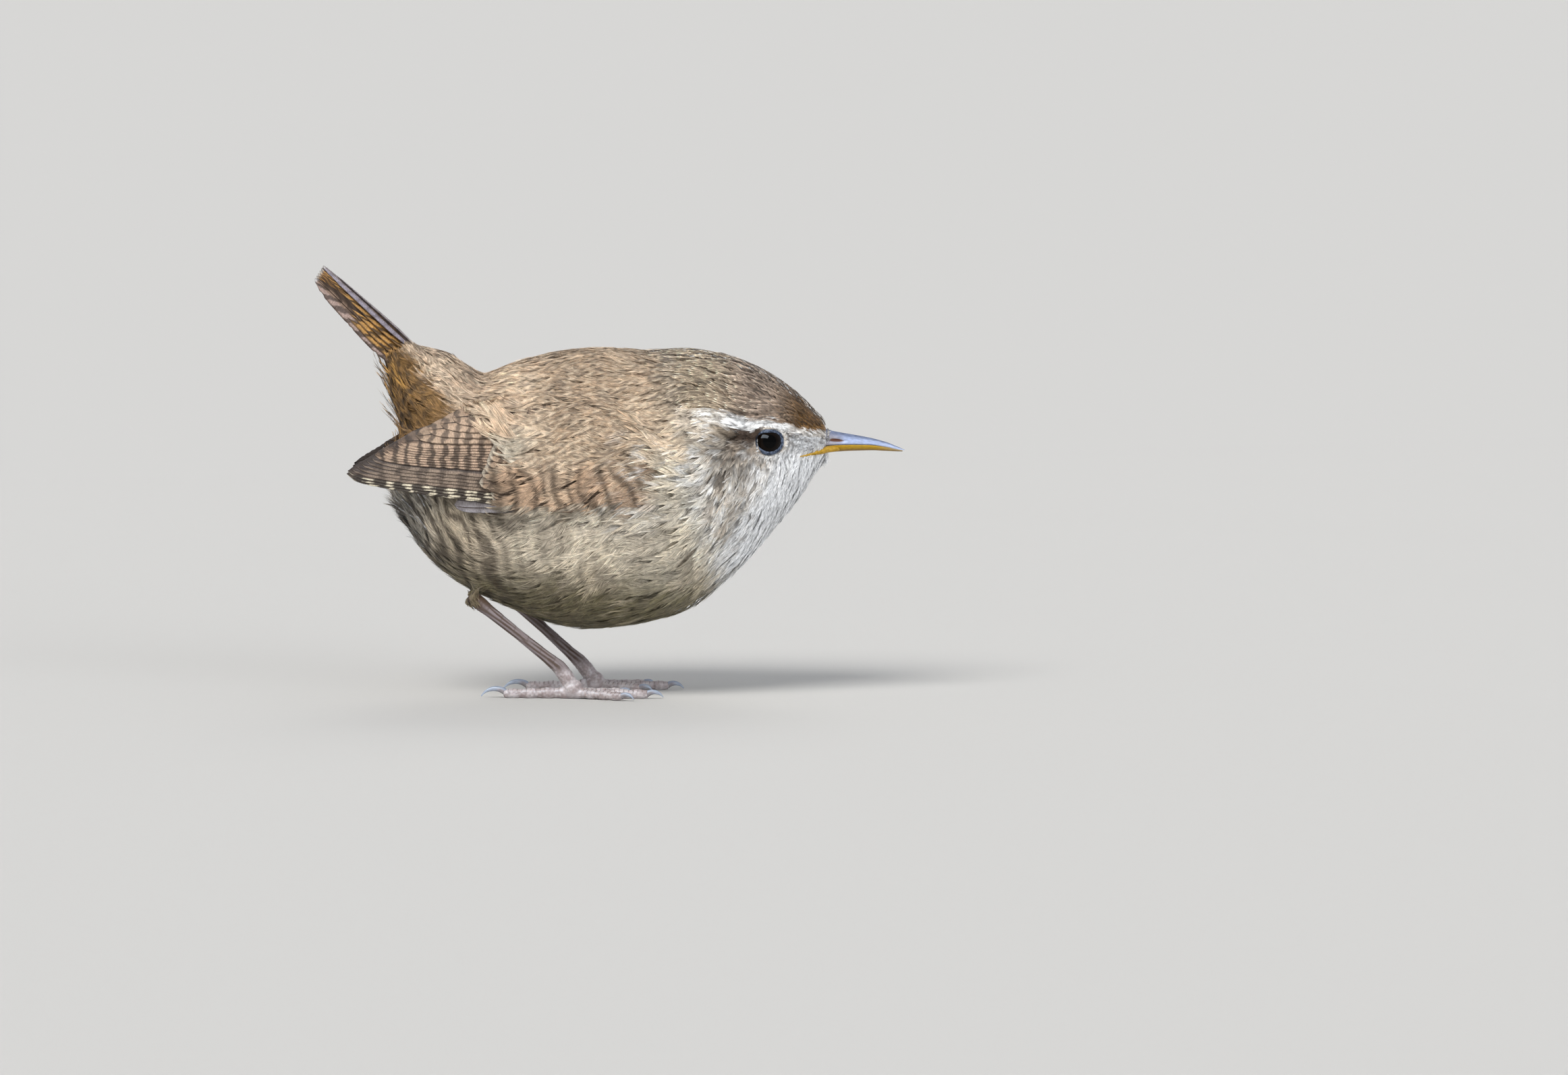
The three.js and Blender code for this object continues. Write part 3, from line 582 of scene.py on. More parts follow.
BROW_X = [10, 13.4, 16.7, 18.5, 20.3, 21.9, 23.7, 25.5, 26.9, 28.6, 30.7, 33.9]
BROW_Z = [45.5, 45.1, 45.0, 44.6, 44.05, 43.55, 43.35, 43.1, 42.6, 42.0, 41.5, 41.2]
BROW_DEEP = [0.6, 1.3, 2.0, 2.3, 2.1, 1.9, 1.2, 0.85, 0.8, 0.7, 0.6, 0.5]
THROAT_EDGE = {"z": [20, 30, 37.5], "x": [17.5, 21.0, 25.2]}
EYE = np.array([25.1, 0, 39.95])
EYE_CLEAR = (2.3, 2.02)

# Tones in linear light. Those of the plumage's zones are in the order that they're laid on.

WHITE = (0.95, 0.955, 0.95)
STRIPE = (0.07, 0.047, 0.034)
EAR = (0.42, 0.345, 0.275)
THROAT = (0.95, 0.96, 0.97)
SIDE = (0.62, 0.56, 0.45)
ZONE_TONES = {
    "breast": (0.88, 0.88, 0.86),
    "flank": (0.74, 0.65, 0.515),
    "rear": (0.45, 0.385, 0.29),
    # the belly is darker than its own buff: painted shade on the underside
    "belly": (0.20, 0.175, 0.095),
    "back": (0.75, 0.545, 0.37),
    "scapular": (0.49, 0.35, 0.23),
    "coverts": (0.52, 0.36, 0.24),
    "rump": (0.52, 0.38, 0.27),
    "vent": (0.38, 0.355, 0.31),
    "undertail": (0.26, 0.145, 0.05),
    "head": (0.72, 0.66, 0.575),
    "ear": EAR,
    "throat": THROAT,
    "lore": (0.71, 0.72, 0.73),
    "stripe": STRIPE,
    "crown": (0.62, 0.49, 0.39),
    "forehead": (0.22, 0.12, 0.045),
    "brow": WHITE,
}
NAPE = (0.80, 0.63, 0.44)
DARK = (0.05, 0.035, 0.024)
DUSK = (0.20, 0.165, 0.13)
GLOW = (0.82, 0.69, 0.52)
DOWN = (0.20, 0.18, 0.155)
PALER = (0.07, 0.052, 0.03)
VENT_TIP = (0.74, 0.76, 0.79)
BOOT = (0.15, 0.12, 0.075)
PLUME = (0.44, 0.245, 0.07)
EYE_RING = (0.85, 0.86, 0.86)


def zones(p):
    """How far each point of the plumage belongs to each zone of the bird, from 0 to 1. A zone
    fades in between the two places, in millimetres, that step is given."""
    x, z = p[..., 0], p[..., 2]
    along, above = on_tail(p)
    rise = z - np.interp(x, BROW_X, BROW_Z)
    deep = np.interp(x, BROW_X, BROW_DEEP)
    uneven = rise + 0.2 * ripple(p, 2.2, 3)
    ragged = x - np.interp(z, THROAT_EDGE["z"], THROAT_EDGE["x"]) + 1.6 * ripple(p, 2.6, 7)
    head = step(10, 14, x + 0.25 * (z - 40))
    crown = step(-0.2, 0.3, uneven) * head
    brow = step(0.35, -0.05, uneven) * step(-deep - 0.2, -deep + 0.25, uneven)
    stripe = step(-deep + 0.45, -deep, uneven) * step(-deep - 3.2, -deep - 1.5, rise)
    return {
        "head": head,
        "crown": crown,
        "forehead": step(24, 30, x) * crown,
        "brow": brow * step(12.4, 13.8, x) * mix(1.0, 0.5, step(26, 29, x)),
        "stripe": stripe * step(13.5, 17.5, x) * step(24.4, 23.2, x),
        "ear": np.exp(-((x - 20.8) / 3.6) ** 2 - ((z - 38.6) / 2.2) ** 2) * head,
        "lore": step(27, 28.5, x) * step(-0.5, -1.1, rise) * step(37.4, 38.4, z),
        "throat": step(-3.4, 2.2, ragged) * step(39.0, 37.8, z),
        "breast": step(8, 17, x - 0.28 * (34 - z)) * step(40, 33, z),
        "belly": step(22.5, 13.5, z + 0.08 * x),
        "flank": step(8, -4, x) * step(34, 29, z),
        "rear": step(-12, -23, x) * step(40, 34, z),
        "back": step(38, 43, z + 0.12 * (x + 6)) * (1 - head),
        "scapular": step(7, 2, x) * step(34.5, 37, z) * (1 - head) * step(-16, -10, x),
        "coverts": step(8, 3, x) * step(29, 31, z) * step(38.5, 35.5, z) * step(-22, -16, x),
        "rump": step(-15, -21, x) * step(1.2, 3.4, above) * step(2, 5, along),
        "undertail": step(3.0, 1.0, above) * step(0.5, 3.5, along) * step(-21, -26, x),
        "vent": step(-24, -31, x) * step(46, 40, z) * step(20, 26, z),
    }


def without(weight, zone, *names):
    """A weight taken away where some zones lie."""
    for name in names:
        weight = weight * (1 - zone[name])
    return weight


def plumage_tone(p):
    """The ground colour of the plumage at points of the bird, with its random patches."""
    zone = zones(p)
    x, z = p[..., 0], p[..., 2]
    colour = np.broadcast_to(np.array(SIDE), p.shape).copy()
    for name, tone in ZONE_TONES.items():
        colour = blend(colour, tone, zone[name])
    colour = blend(colour, NAPE, zone["crown"] * step(22, 14, x))
    # a paler wash on the hindneck: painted light that lifts the shade of the neck's crease
    hindneck_painted_light = step(20, 16, x) * step(4, 9, x) * step(38, 41, z)
    colour = blend(colour, GLOW, 0.4 * hindneck_painted_light)
    cheek = without(zone["head"], zone, "stripe", "crown", "throat", "brow", "lore")
    shoulder = without(step(17, 11, x) * step(-3, 3, x) * step(31, 35, z) * step(43, 39, z), zone, "head")
    patches = ripple(p, 3.2, 17)
    colour = blend(colour, WHITE, 0.55 * (cheek + shoulder) * step(0.15, 0.8, patches))
    colour = blend(colour, EAR, 0.6 * cheek * step(-0.15, -0.8, patches))
    plumes = np.exp(-((x - 2.5) / 5.5) ** 2 - ((z - 29.0) / 2.4) ** 2)
    colour = blend(colour, WHITE, 0.5 * plumes * step(-0.5, 0.4, ripple(p, 1.8, 53)))
    body = without(1 - zone["head"], zone, "undertail", "breast")
    patches = ripple(p, 3.8, 29)
    colour = blend(colour, DUSK, 0.34 * body * step(0.1, 0.8, patches))
    colour = blend(colour, GLOW, 0.3 * body * step(-0.1, -0.8, patches))
    flecks = step(0.15, 0.75, ripple(p, 1.3, 9)) * (zone["lore"] + 0.35 * (zone["head"] - zone["crown"]))
    return blend(colour, STRIPE, without(0.6 * np.clip(flecks, 0, 1), zone, "throat", "brow"))


def marked(colour, p):
    """Tones with the wavy bars of the wing's coverts, flank and vent and the scaly look of the
    back, at points of the bird."""
    zone = zones(p)
    upper = np.clip(zone["back"] + zone["scapular"] + 0.8 * zone["rump"], 0, 1)
    scaly = ripple(p, 0.9, 37) * without(upper, zone, "undertail")
    colour = blend(colour, DUSK, 0.55 * step(0.1, 0.6, scaly))
    colour = blend(colour, GLOW, 0.45 * step(-0.1, -0.6, scaly))
    bars = (p[..., 0] + 0.3 * p[..., 2]) / 2.4 + 0.45 * ripple(p, 5.5, 43)
    barred = np.clip(zone["rear"] + zone["vent"] + zone["coverts"] + 0.5 * zone["flank"], 0, 1)
    barred = without(barred, zone, "undertail", "rump")
    return blend(colour, DARK, 0.72 * barred * step(0.0, 0.8, np.cos(FULL_TURN * bars)))


# How feathers grow: length and width of what shows, spacing, depth of the coat, its bars, pale
# tips and dark middles, how far they spread, stand loose and open, and how round they bend.
# On the head a pair is the value by the bill and the value at the nape.

FEATHER = dict(
    length=7.4, width=2.3, spacing=1.15, depth=2.0, bars=0.3, pitch=1.6, streak=0.0, pale=0.3, spread=6.0,
    loose=0.15, round=16.0, open=0.72, vary=0.12,
)
ZONE_FEATHERS = {
    "breast": dict(length=6.2, width=1.9, spacing=1.05, bars=0.12, pale=0.5, loose=0.3, open=0.6),
    "flank": dict(length=8.0, width=2.4, bars=0.25, pitch=2.0, spread=7, loose=0.25),
    "rear": dict(length=7.4, width=2.3, bars=0.4, pitch=2.4, pale=0.7, spread=7, loose=0.4),
    "belly": dict(bars=0.2, spread=5, width=2.0, open=0.6),
    "back": dict(length=6.4, width=2.2, spacing=1.1, bars=0.5, pitch=1.7, depth=1.6, pale=0.55),
    "scapular": dict(length=5.6, width=1.9, spacing=1.02, bars=0.65, pitch=1.7, depth=1.1, pale=0.55),
    "coverts": dict(length=4.8, width=1.6, spacing=1.0, depth=0.9, bars=0.25, pitch=1.6, pale=0.6),
    "rump": dict(length=6.0, width=1.7, depth=1.5, bars=0.9, pitch=1.7, pale=0.8, vary=0.22),
    "vent": dict(length=7.0, width=1.8, bars=0.4, pale=0.9, loose=1.8, spread=20),
    "undertail": dict(length=9.5, width=1.3, depth=1.5, bars=1.0, pitch=3.2, pale=0.4, loose=0.7, open=0.4),
    "head": dict(length=(2.1, 5.0), width=(0.55, 1.6), bars=0.0, spacing=(0.37, 0.8), depth=(0.45, 1.5),
                 streak=0.3, pale=0.4, spread=7.0, round=(4, 13), loose=0.08, open=0.72, vary=0.2),
    "throat": dict(length=(2.4, 5.2), width=(0.5, 1.2), streak=0.1, pale=0.5, loose=0.35, open=0.65,
                   spacing=(0.33, 0.66), vary=0.07, depth=(0.35, 0.9)),
    "crown": dict(streak=1.0, pale=0.8, length=(2.3, 5.0), width=(0.36, 0.95), spacing=(0.34, 0.7),
                  open=0.55, vary=0.34),
    "forehead": dict(vary=0.42, pale=1.0),
    "ear": dict(bars=0.6, pitch=0.9, streak=0.8, open=0.9, vary=0.36),
    "stripe": dict(pale=0.0, vary=0.15),
    "lore": dict(length=1.5, width=0.36, spacing=0.31, streak=0.3, spread=16, open=0.6),
    "brow": dict(streak=0.0, pale=0.0, length=(2.0, 4.0), width=(0.4, 0.9), open=0.6),
    "by_eye": dict(length=1.5, width=0.42, spacing=0.34, depth=0.32),
}


def eye_gap(p):
    """How far points are from the eye's middle as the bird is seen from its side, 1 at its edge."""
    return np.linalg.norm((p - EYE)[..., [0, 2]] / EYE_CLEAR, axis=-1)


def growth(p):
    zone = zones(p)
    zone["by_eye"] = step(2.0, 1.0, eye_gap(p)) * zone["head"]
    near = np.clip((33.5 - p[..., 0]) / 15, 0, 1)
    sizes = {key: np.full(near.shape, value) for key, value in FEATHER.items()}
    for name, values in ZONE_FEATHERS.items():
        for key, value in values.items():
            value = mix(*value, near) if isinstance(value, tuple) else value
            sizes[key] = mix(sizes[key], value, zone[name])
    return sizes


def flow(p, n):
    """Which way the plumage lies at points with outward normals n: backwards from the bill, up
    onto the tail, down the throat and round the eye."""
    x, z = p[..., 0:1], p[..., 2:3]
    way = np.zeros_like(p)
    way[..., 0] = -1
    way[..., 2:3] = mix(-0.3, -0.12, step(32, 40, z))
    way = mix(way, TAIL_AXIS, step(-13, -25, x))
    from_bill = p - (BILL_BASE + np.array([2.0, 0, 0]))
    way = mix(way, unit(from_bill), step(17, 29, x))
    hang = step(11, 24, x) * step(39.4, 36.8, z)
    way = mix(way, np.array([-0.36, 0, -0.93]), 0.92 * hang)
    to_eye = EYE - p
    to_eye[..., 1] = 0
    reach = np.linalg.norm(to_eye, axis=-1, keepdims=True)
    to_eye = to_eye / np.maximum(reach, 1e-6)
    into = np.maximum(dot(way, to_eye), 0) * np.exp(-np.maximum(reach - 2.2, 0) / 1.3)
    way = laid(way - to_eye * into, n)
    turn = (0.26 * ripple(p, 12, 5) * step(34, 22, x[..., 0]))[..., None]
    return way * np.cos(turn) + np.cross(n, way) * np.sin(turn)


# Feathers of the coat

PATH_STEPS = 9
PATH_REACH = 1.3  # the length of a feather's path, in lengths of the feather
BARB = np.array([0.0, 0.4, 0.75, 1.0])  # the places along a barb where it has points
CLUMP = 3  # barbs that cling together by their tips
CLING = 0.15
SHAFT_END = 0.75  # how many widths short of its tip a feather's shaft ends
BARB_LONG = (1.7, 1.15)  # in widths, for the barbs at the root and at the tip
FIRST_ANGLE = (0.68, 0.5)  # from the shaft as a barb leaves it, in radians at root and tip
LAST_ANGLE = (0.46, 0.24)
LEAN = 0.55  # how much more one side opens than the other where feathers lean
ROLL = 0.22
BARB_WIDTHS = ([0.3, 0.7, 1.4, 2.4], [0.07, 0.08, 0.09, 0.098])  # by the feather's own width
BARB_SHADE = 0.14
CLUMP_SHADE = 0.07
LAST = len(BARB) - 1
BARB_TAPER = np.interp(BARB[:LAST], [0, 0.4, 1], [0.7, 1.0, 0.35])
BARB_SPOTS = [*range(LAST), *range(LAST), LAST]
BARB_FACES = []
for k in range(LAST - 1):
    BARB_FACES += [[k, LAST + k, k + 1], [k + 1, LAST + k, LAST + k + 1]]
BARB_FACES = np.array([*BARB_FACES, [LAST - 1, 2 * LAST - 1, 2 * LAST]])
PATCH_HALF = 0.0012  # a feather's patch on the unwrap: half its width, half its length, its limit
PATCH_END = 0.0013
PATCH_LIMIT = 0.0015


def feather_paths(surface, roots, normals, sizes, course):
    """Paths along the form from each root, with the side and normal at each step."""
    hop = (sizes["length"] * PATH_REACH / (PATH_STEPS - 1))[:, None]
    place, normal = roots, normals
    turn = 0.6 * rng.normal(size=len(roots)) + 1.5 * ripple(roots, 2.6, 61)
    turn = (np.radians(sizes["spread"]) * turn)[:, None]
    places, norms = [place], [normal]
    for _ in range(PATH_STEPS - 1):
        way = course(place, normal)
        way = way * np.cos(turn) + np.cross(normal, way) * np.sin(turn)
        place, normal = surface.nearest(place + way * hop)
        places.append(place)
        norms.append(normal)
    places, norms = np.stack(places, 1), np.stack(norms, 1)
    sides = unit(np.cross(norms, unit(np.gradient(places, axis=1))))
    share = np.linspace(0, PATH_REACH, PATH_STEPS)
    sink = sizes["depth"][:, None] * (1 - step(0.0, 0.62, share)[None]) + sizes["lie"][:, None]
    lift = (sizes["loose"] * rng.random(len(roots)))[:, None] * share[None] ** 3
    return places + norms * (lift - sink)[..., None], sides, norms


def along_path(values, place):
    """Values given at the path's steps, read at places counted in steps."""
    place = np.clip(place, 0, PATH_STEPS - 1.001)
    low = place.astype(int)
    t = (place - low)[..., None]
    row = np.arange(len(values)).reshape((-1,) + (1,) * (place.ndim - 1))
    return values[row, low] * (1 - t) + values[row, low + 1] * t


def barb_curves(sizes, roots, barbs):
    """How far along its feather and how far aside each barb is at its places, as it leaves the
    shaft and curves towards the tip."""
    count, half_set = len(roots), barbs // 2
    length, width = sizes["length"][:, None], sizes["width"][:, None]
    shaft = length - SHAFT_END * width
    side = np.repeat([1.0, -1.0], half_set)[None]
    order = (np.arange(barbs) % half_set + rng.random((count, barbs))) / half_set
    start = mix(0.1, 1.0, order) ** 0.8
    long = (width * mix(*BARB_LONG, start) * rng.uniform(0.7, 1.15, (count, barbs)))[..., None]
    lean = np.clip(2.2 * ripple(roots, 2.2, 71), -1, 1)[:, None]
    opening = sizes["open"][:, None] * (1 + LEAN * lean * side)
    first = mix(*FIRST_ANGLE, start) * opening + rng.normal(0, 0.04, (count, barbs))
    last = mix(*LAST_ANGLE, start) * opening + rng.normal(0, 0.06, (count, barbs))
    begin = np.stack([start * shaft, 0 * start], -1)
    bend = begin + 0.5 * long * heading(first)
    end = bend + 0.5 * long * heading(last)
    clumps = end.reshape(count, 2, half_set // CLUMP, CLUMP, 2)
    end = mix(clumps, clumps.mean(3, keepdims=True), CLING).reshape(end.shape)
    begin, bend, end = (a[:, :, None] for a in (begin, bend, end))
    v = BARB[:, None]
    curve = (1 - v) ** 2 * begin + 2 * v * (1 - v) * bend + v ** 2 * end
    return curve[..., 0], curve[..., 1] * side[..., None]


def feather_tint(size, base, from_tip, across, shade_and_painted_light):
    """A feather's own colours over its ground tone: bars, dark centre, pale tip and grey down, times each
    barb's shade with a painted highlight at its tip and painted shade at its root.
    """
    across = across / size["width"]
    phase = from_tip / size["pitch"] + 0.3 * np.abs(across)
    bar = step(0.0, 0.8, np.cos(FULL_TURN * (phase - 0.5)))
    dark = np.asarray(DARK) * 0.5 + base * 0.25
    colour = mix(base, dark, np.clip(bar * size["bars"], 0, 1)[..., None])
    near_tip = from_tip / size["width"]
    centre = np.exp(-(across / 0.4) ** 2) * step(0.1, 0.9, near_tip)
    colour = mix(colour, dark, (centre * size["streak"])[..., None])
    tip = step(0.9, 0.1, near_tip) * size["pale"]
    colour = mix(colour, np.clip(colour * 1.4 + np.array(PALER), 0, 0.95), tip[..., None])
    hidden = step(0.6, 1.0, from_tip / size["length"])
    colour = mix(colour, np.asarray(DOWN), (0.25 * hidden)[..., None])
    return colour * shade_and_painted_light[..., None]


def grow_feathers(surface, roots, normals, sizes, barbs, course, tone):
    """Every feather's barbs, as thin tapering blades, in arrays with one row a feather."""
    count, each = len(roots), (len(roots), barbs)
    size = {key: values[:, None, None] for key, values in sizes.items()}
    points, sides, norms = feather_paths(surface, roots, normals, sizes, course)
    reached, across = barb_curves(sizes, roots, barbs)
    place = reached / (size["length"] * PATH_REACH) * (PATH_STEPS - 1)
    centre, out, norm = (along_path(values, place) for values in (points, sides, norms))

    # stray barbs and clumps that stand a little off the feather
    fluff = 0.035 + 0.1 * sizes["loose"][:, None]
    loft = rng.normal(0, 1, each) * fluff
    bunch = np.repeat(rng.normal(0, 1, (count, barbs // CLUMP)) * fluff, CLUMP, 1)
    rise = (loft + bunch)[..., None] * BARB ** 1.5 * step(0.4, 2.0, size["width"])
    droop = across ** 2 / (2 * size["round"])
    centre = centre + out * across[..., None] + norm * (rise - droop)[..., None]

    # blades, each turned a little on its own line
    flat = unit(np.cross(norm, np.gradient(centre, axis=2)))
    roll = rng.normal(0, ROLL, each)[..., None, None]
    flat = unit(flat * np.cos(roll) + norm * np.sin(roll))[:, :, :LAST]
    thickness = np.interp(size["width"], *BARB_WIDTHS)
    half = (0.5 * thickness * BARB_TAPER * rng.uniform(0.75, 1.2, each)[..., None])[..., None]
    body = centre[:, :, :LAST]
    verts = np.concatenate([body + flat * half, body - flat * half, centre[:, :, LAST:]], 2)

    # shades by feather, by barb and by clump, and painted light along each barb
    from_tip = np.maximum(size["length"] + 0.15 - reached, 0)
    shade = 1 + sizes["vary"][:, None] * rng.normal(size=(count, 1))
    shade = shade * rng.normal(1, BARB_SHADE, each)
    shade = shade * np.repeat(rng.normal(1, CLUMP_SHADE, (count, barbs // CLUMP)), CLUMP, 1)
    # each barb is painted darker at its root and lighter at its tip: painted shade and a painted highlight
    shade_and_painted_light = np.clip(shade, 0.45, 1.5)[..., None] * mix(0.84, 1.1, BARB)
    middle = centre[:, :, LAST // 2 + 1] + 0.3 * rng.normal(size=(count, 1, 3)) * size["width"]
    base = plumage_tone(middle) if tone is None else np.broadcast_to(tone, middle.shape)
    tint = feather_tint(size, base[:, :, None], from_tip, across, shade_and_painted_light)
    if tone is None:
        tint = marked(tint, centre)
    beside = PATCH_HALF * across / size["width"]
    ahead = PATCH_END - 2 * PATCH_END * from_tip / size["length"]
    patch = np.clip(np.stack([beside, ahead], -1), -PATCH_LIMIT, PATCH_LIMIT)
    return verts, tint[:, :, BARB_SPOTS], patch[:, :, BARB_SPOTS]


PIECE_LIMIT = 185000  # triangles
UNWRAP_LONG = 96
UNWRAP_EDGES = (0.01, 0.99)


def unwrap(p):
    """A place on the flat unwrap of the body's own form: round it, and along it."""
    around = np.arctan2(p[..., 1], p[..., 2] - BODY_MIDDLE_Z) / FULL_TURN + 0.5
    along = p[..., 0] / UNWRAP_LONG + 0.5
    return np.stack([mix(*UNWRAP_EDGES, around), mix(*UNWRAP_EDGES, along)], -1)


def coat_pieces(name, material, roots, verts, tint, patch):
    """Feathers as joined meshes, each under the limit of triangles."""
    barbs, points = verts.shape[1:3]
    chunks = max(1, math.ceil(len(roots) * barbs * len(BARB_FACES) / PIECE_LIMIT))
    for i, rows in enumerate(np.array_split(np.argsort(roots[:, 0]), chunks)):
        faces = BARB_FACES[None] + (np.arange(len(rows) * barbs) * points)[:, None, None]
        uv = patch[rows] + unwrap(roots[rows])[:, None, None]
        colours = np.clip(tint[rows].reshape(-1, 3), 0, 1)
        piece = make_mesh(
            f"{name}_{i + 1}", verts[rows].reshape(-1, 3), faces.reshape(-1, 3), material, tint=colours,
            uv=uv.reshape(-1, 2),
        )
        add_piece(piece, "plumage")


# The eyes' places and the lids' line

LID_LONG = 1.98
LID_ABOVE = 1.5
LID_BELOW = 1.72
LID_THICK = 0.18
TURN = turns(120)


def eye_place(side, label):
    """The middle of an eye, its radius and the way it looks."""
    low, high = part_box(f"eye_{label}")
    centre = np.array((low + high) / 2) / MM
    return centre, (high - low).z / 2 / MM, unit(np.array([0.12, side, 0.10]))


def lid_line(radius, out=0.0):
    """How far from the eye's axis the lid runs at each turn, and how high up the ball. Its upper
    edge is flatter than its lower one."""
    above = np.sin(TURN) > 0
    power = np.where(above, 2.7, 1.9)
    high = np.where(above, LID_ABOVE, LID_BELOW)
    reach = (np.abs(np.cos(TURN) / LID_LONG) ** power + np.abs(np.sin(TURN) / high) ** power) ** (-1 / power)
    return reach + out, np.sqrt(radius ** 2 - reach ** 2) + 0.06


EYES = {label: eye_place(side, label) for side, label in SIDES}


# The outer forms and the skin

FLESH = ["torso", "neck", "head", "rump", "thigh_right", "thigh_left"]
SOCKET_RIM = {"out": 0.36, "thick": 0.45, "sunk": 0.35}
flesh_parts = [node_part(name) for name in FLESH]
for centre, radius, axis in EYES.values():
    reach, height = lid_line(radius, SOCKET_RIM["out"])
    thick = np.full(len(TURN), SOCKET_RIM["thick"])
    flesh_parts.append(ring_part(centre, axis, reach, thick, height - SOCKET_RIM["sunk"])[:2])
flesh = Envelope(*remeshed(flesh_parts, 0.55, 7)[:2])
whole = Envelope(*remeshed(flesh_parts + [node_part("wing_right"), node_part("wing_left")], 0.55, 8)[:2])


def wing_pad_part(side):
    """The wing's fleshy part, under its coverts."""
    verts, tris = ball_part((0, 0, 0), 1.0)
    x = -3.8 + verts[:, 0] * 10.0 - verts[:, 1] * 0.8
    z = 38.0 + verts[:, 1] * 8.2 + verts[:, 0] * 1.0
    return wing_place(x, z, -0.5 + 1.2 * verts[:, 2], side), tris if side > 0 else tris[:, ::-1]


def skin_piece():
    """One skin over all the flesh, as deep below the coat's tips as the coat is there."""
    wing_pads = [wing_pad_part(RIGHT), wing_pad_part(LEFT)]
    points, tris, edges = remeshed(flesh_parts + wing_pads, 0.5, 4)
    normals = point_normals(points, tris)
    depth = growth(points)["depth"] * mix(0.6, 1.1, zones(points)["head"])
    for centre, _, _ in EYES.values():
        gap = np.linalg.norm(points - centre, axis=1)
        depth = np.maximum(depth * step(1.9, 3.0, gap), 0.3 * step(2.2, 3.0, gap))
    points = relaxed(points - normals * depth[:, None], edges, 3)
    outer = points + normals * depth[:, None]
    # the plumage's tones a little darker: slight painted shade where the skin shows between feathers
    tone = marked(plumage_tone(outer), outer) * 0.95
    material = coat_material("skin", 0.8, 0.25)
    add_piece(make_mesh("skin", points, tris, material, tint=tone, uv=unwrap(points)), "plumage", *FLESH)


skin_piece()


# Wing and tail feathers

PITCH = 3.2
SECONDARY_PITCH = 1.95
VANES = {
    "primary": dict(
        ground=(0.10, 0.075, 0.06), outer=(0.74, 0.66, 0.50), web=(-0.38, -0.55), pitch=PITCH, width=-0.3,
        skew=0.3, strength=0.95),
    "inner_primary": dict(
        ground=(0.10, 0.08, 0.07), outer=(0.27, 0.205, 0.155), pitch=PITCH, width=0.4, skew=0.3,
        strength=0.6),
    "secondary": dict(
        ground=(0.22, 0.15, 0.105), outer=(0.49, 0.35, 0.25), pitch=SECONDARY_PITCH, width=0.3, skew=0.25,
        strength=0.8, inner=0.45),
    "tertial": dict(
        ground=(0.36, 0.255, 0.175), outer=(0.47, 0.34, 0.24), pitch=SECONDARY_PITCH, width=0.3, skew=0.25,
        strength=0.7, inner=0.15),
    "covert": dict(
        ground=(0.32, 0.225, 0.155), outer=(0.46, 0.335, 0.235), pitch=1.9, width=0.2, skew=0.5,
        strength=0.65, tip=(0.66, 0.58, 0.46), inner=0.4),
    "outer_primary": dict(
        ground=(0.24, 0.22, 0.225), outer=(0.34, 0.32, 0.335), bar=(0.12, 0.10, 0.10), pitch=PITCH,
        width=0.4, skew=0.3, strength=0.5, inner=0.4),
    # the top pair's lilac grey is partly its own grey brown and partly painted sheen of the sky on its upper
    # side
    "top_tail_feather": dict(
        ground=(0.33, 0.285, 0.29), outer=(0.36, 0.325, 0.38), pitch=1.9, width=0.75, skew=0.3,
        strength=0.4, tip=(0.6, 0.56, 0.54), inner=0.0),
    "tail_feather": dict(
        ground=(0.40, 0.215, 0.08), outer=(0.56, 0.31, 0.10), pitch=3.1, width=0.5, skew=1.3,
        strength=0.9, tip=(0.5, 0.45, 0.4), inner=0.6),
    "low_tail_feather": dict(
        ground=(0.24, 0.165, 0.12), outer=(0.38, 0.28, 0.24), pitch=2.6, width=0.3, skew=1.0,
        strength=0.75, tip=(0.62, 0.6, 0.6)),
}
vanes = {name: vane_material(name, **values) for name, values in VANES.items()}
WING_VANES = ["primary", "secondary", "covert", "outer_primary", "inner_primary", "tertial"]
TAIL_VANES = ["top_tail_feather", "tail_feather", "low_tail_feather"]

ACROSS = np.array([-1, -0.8, -0.55, -0.3, -0.12, 0, 0.12, 0.3, 0.55, 0.8, 1])
STATIONS = 44
VANE_THICK = 0.11
SHAFT_HEIGHT = 0.07


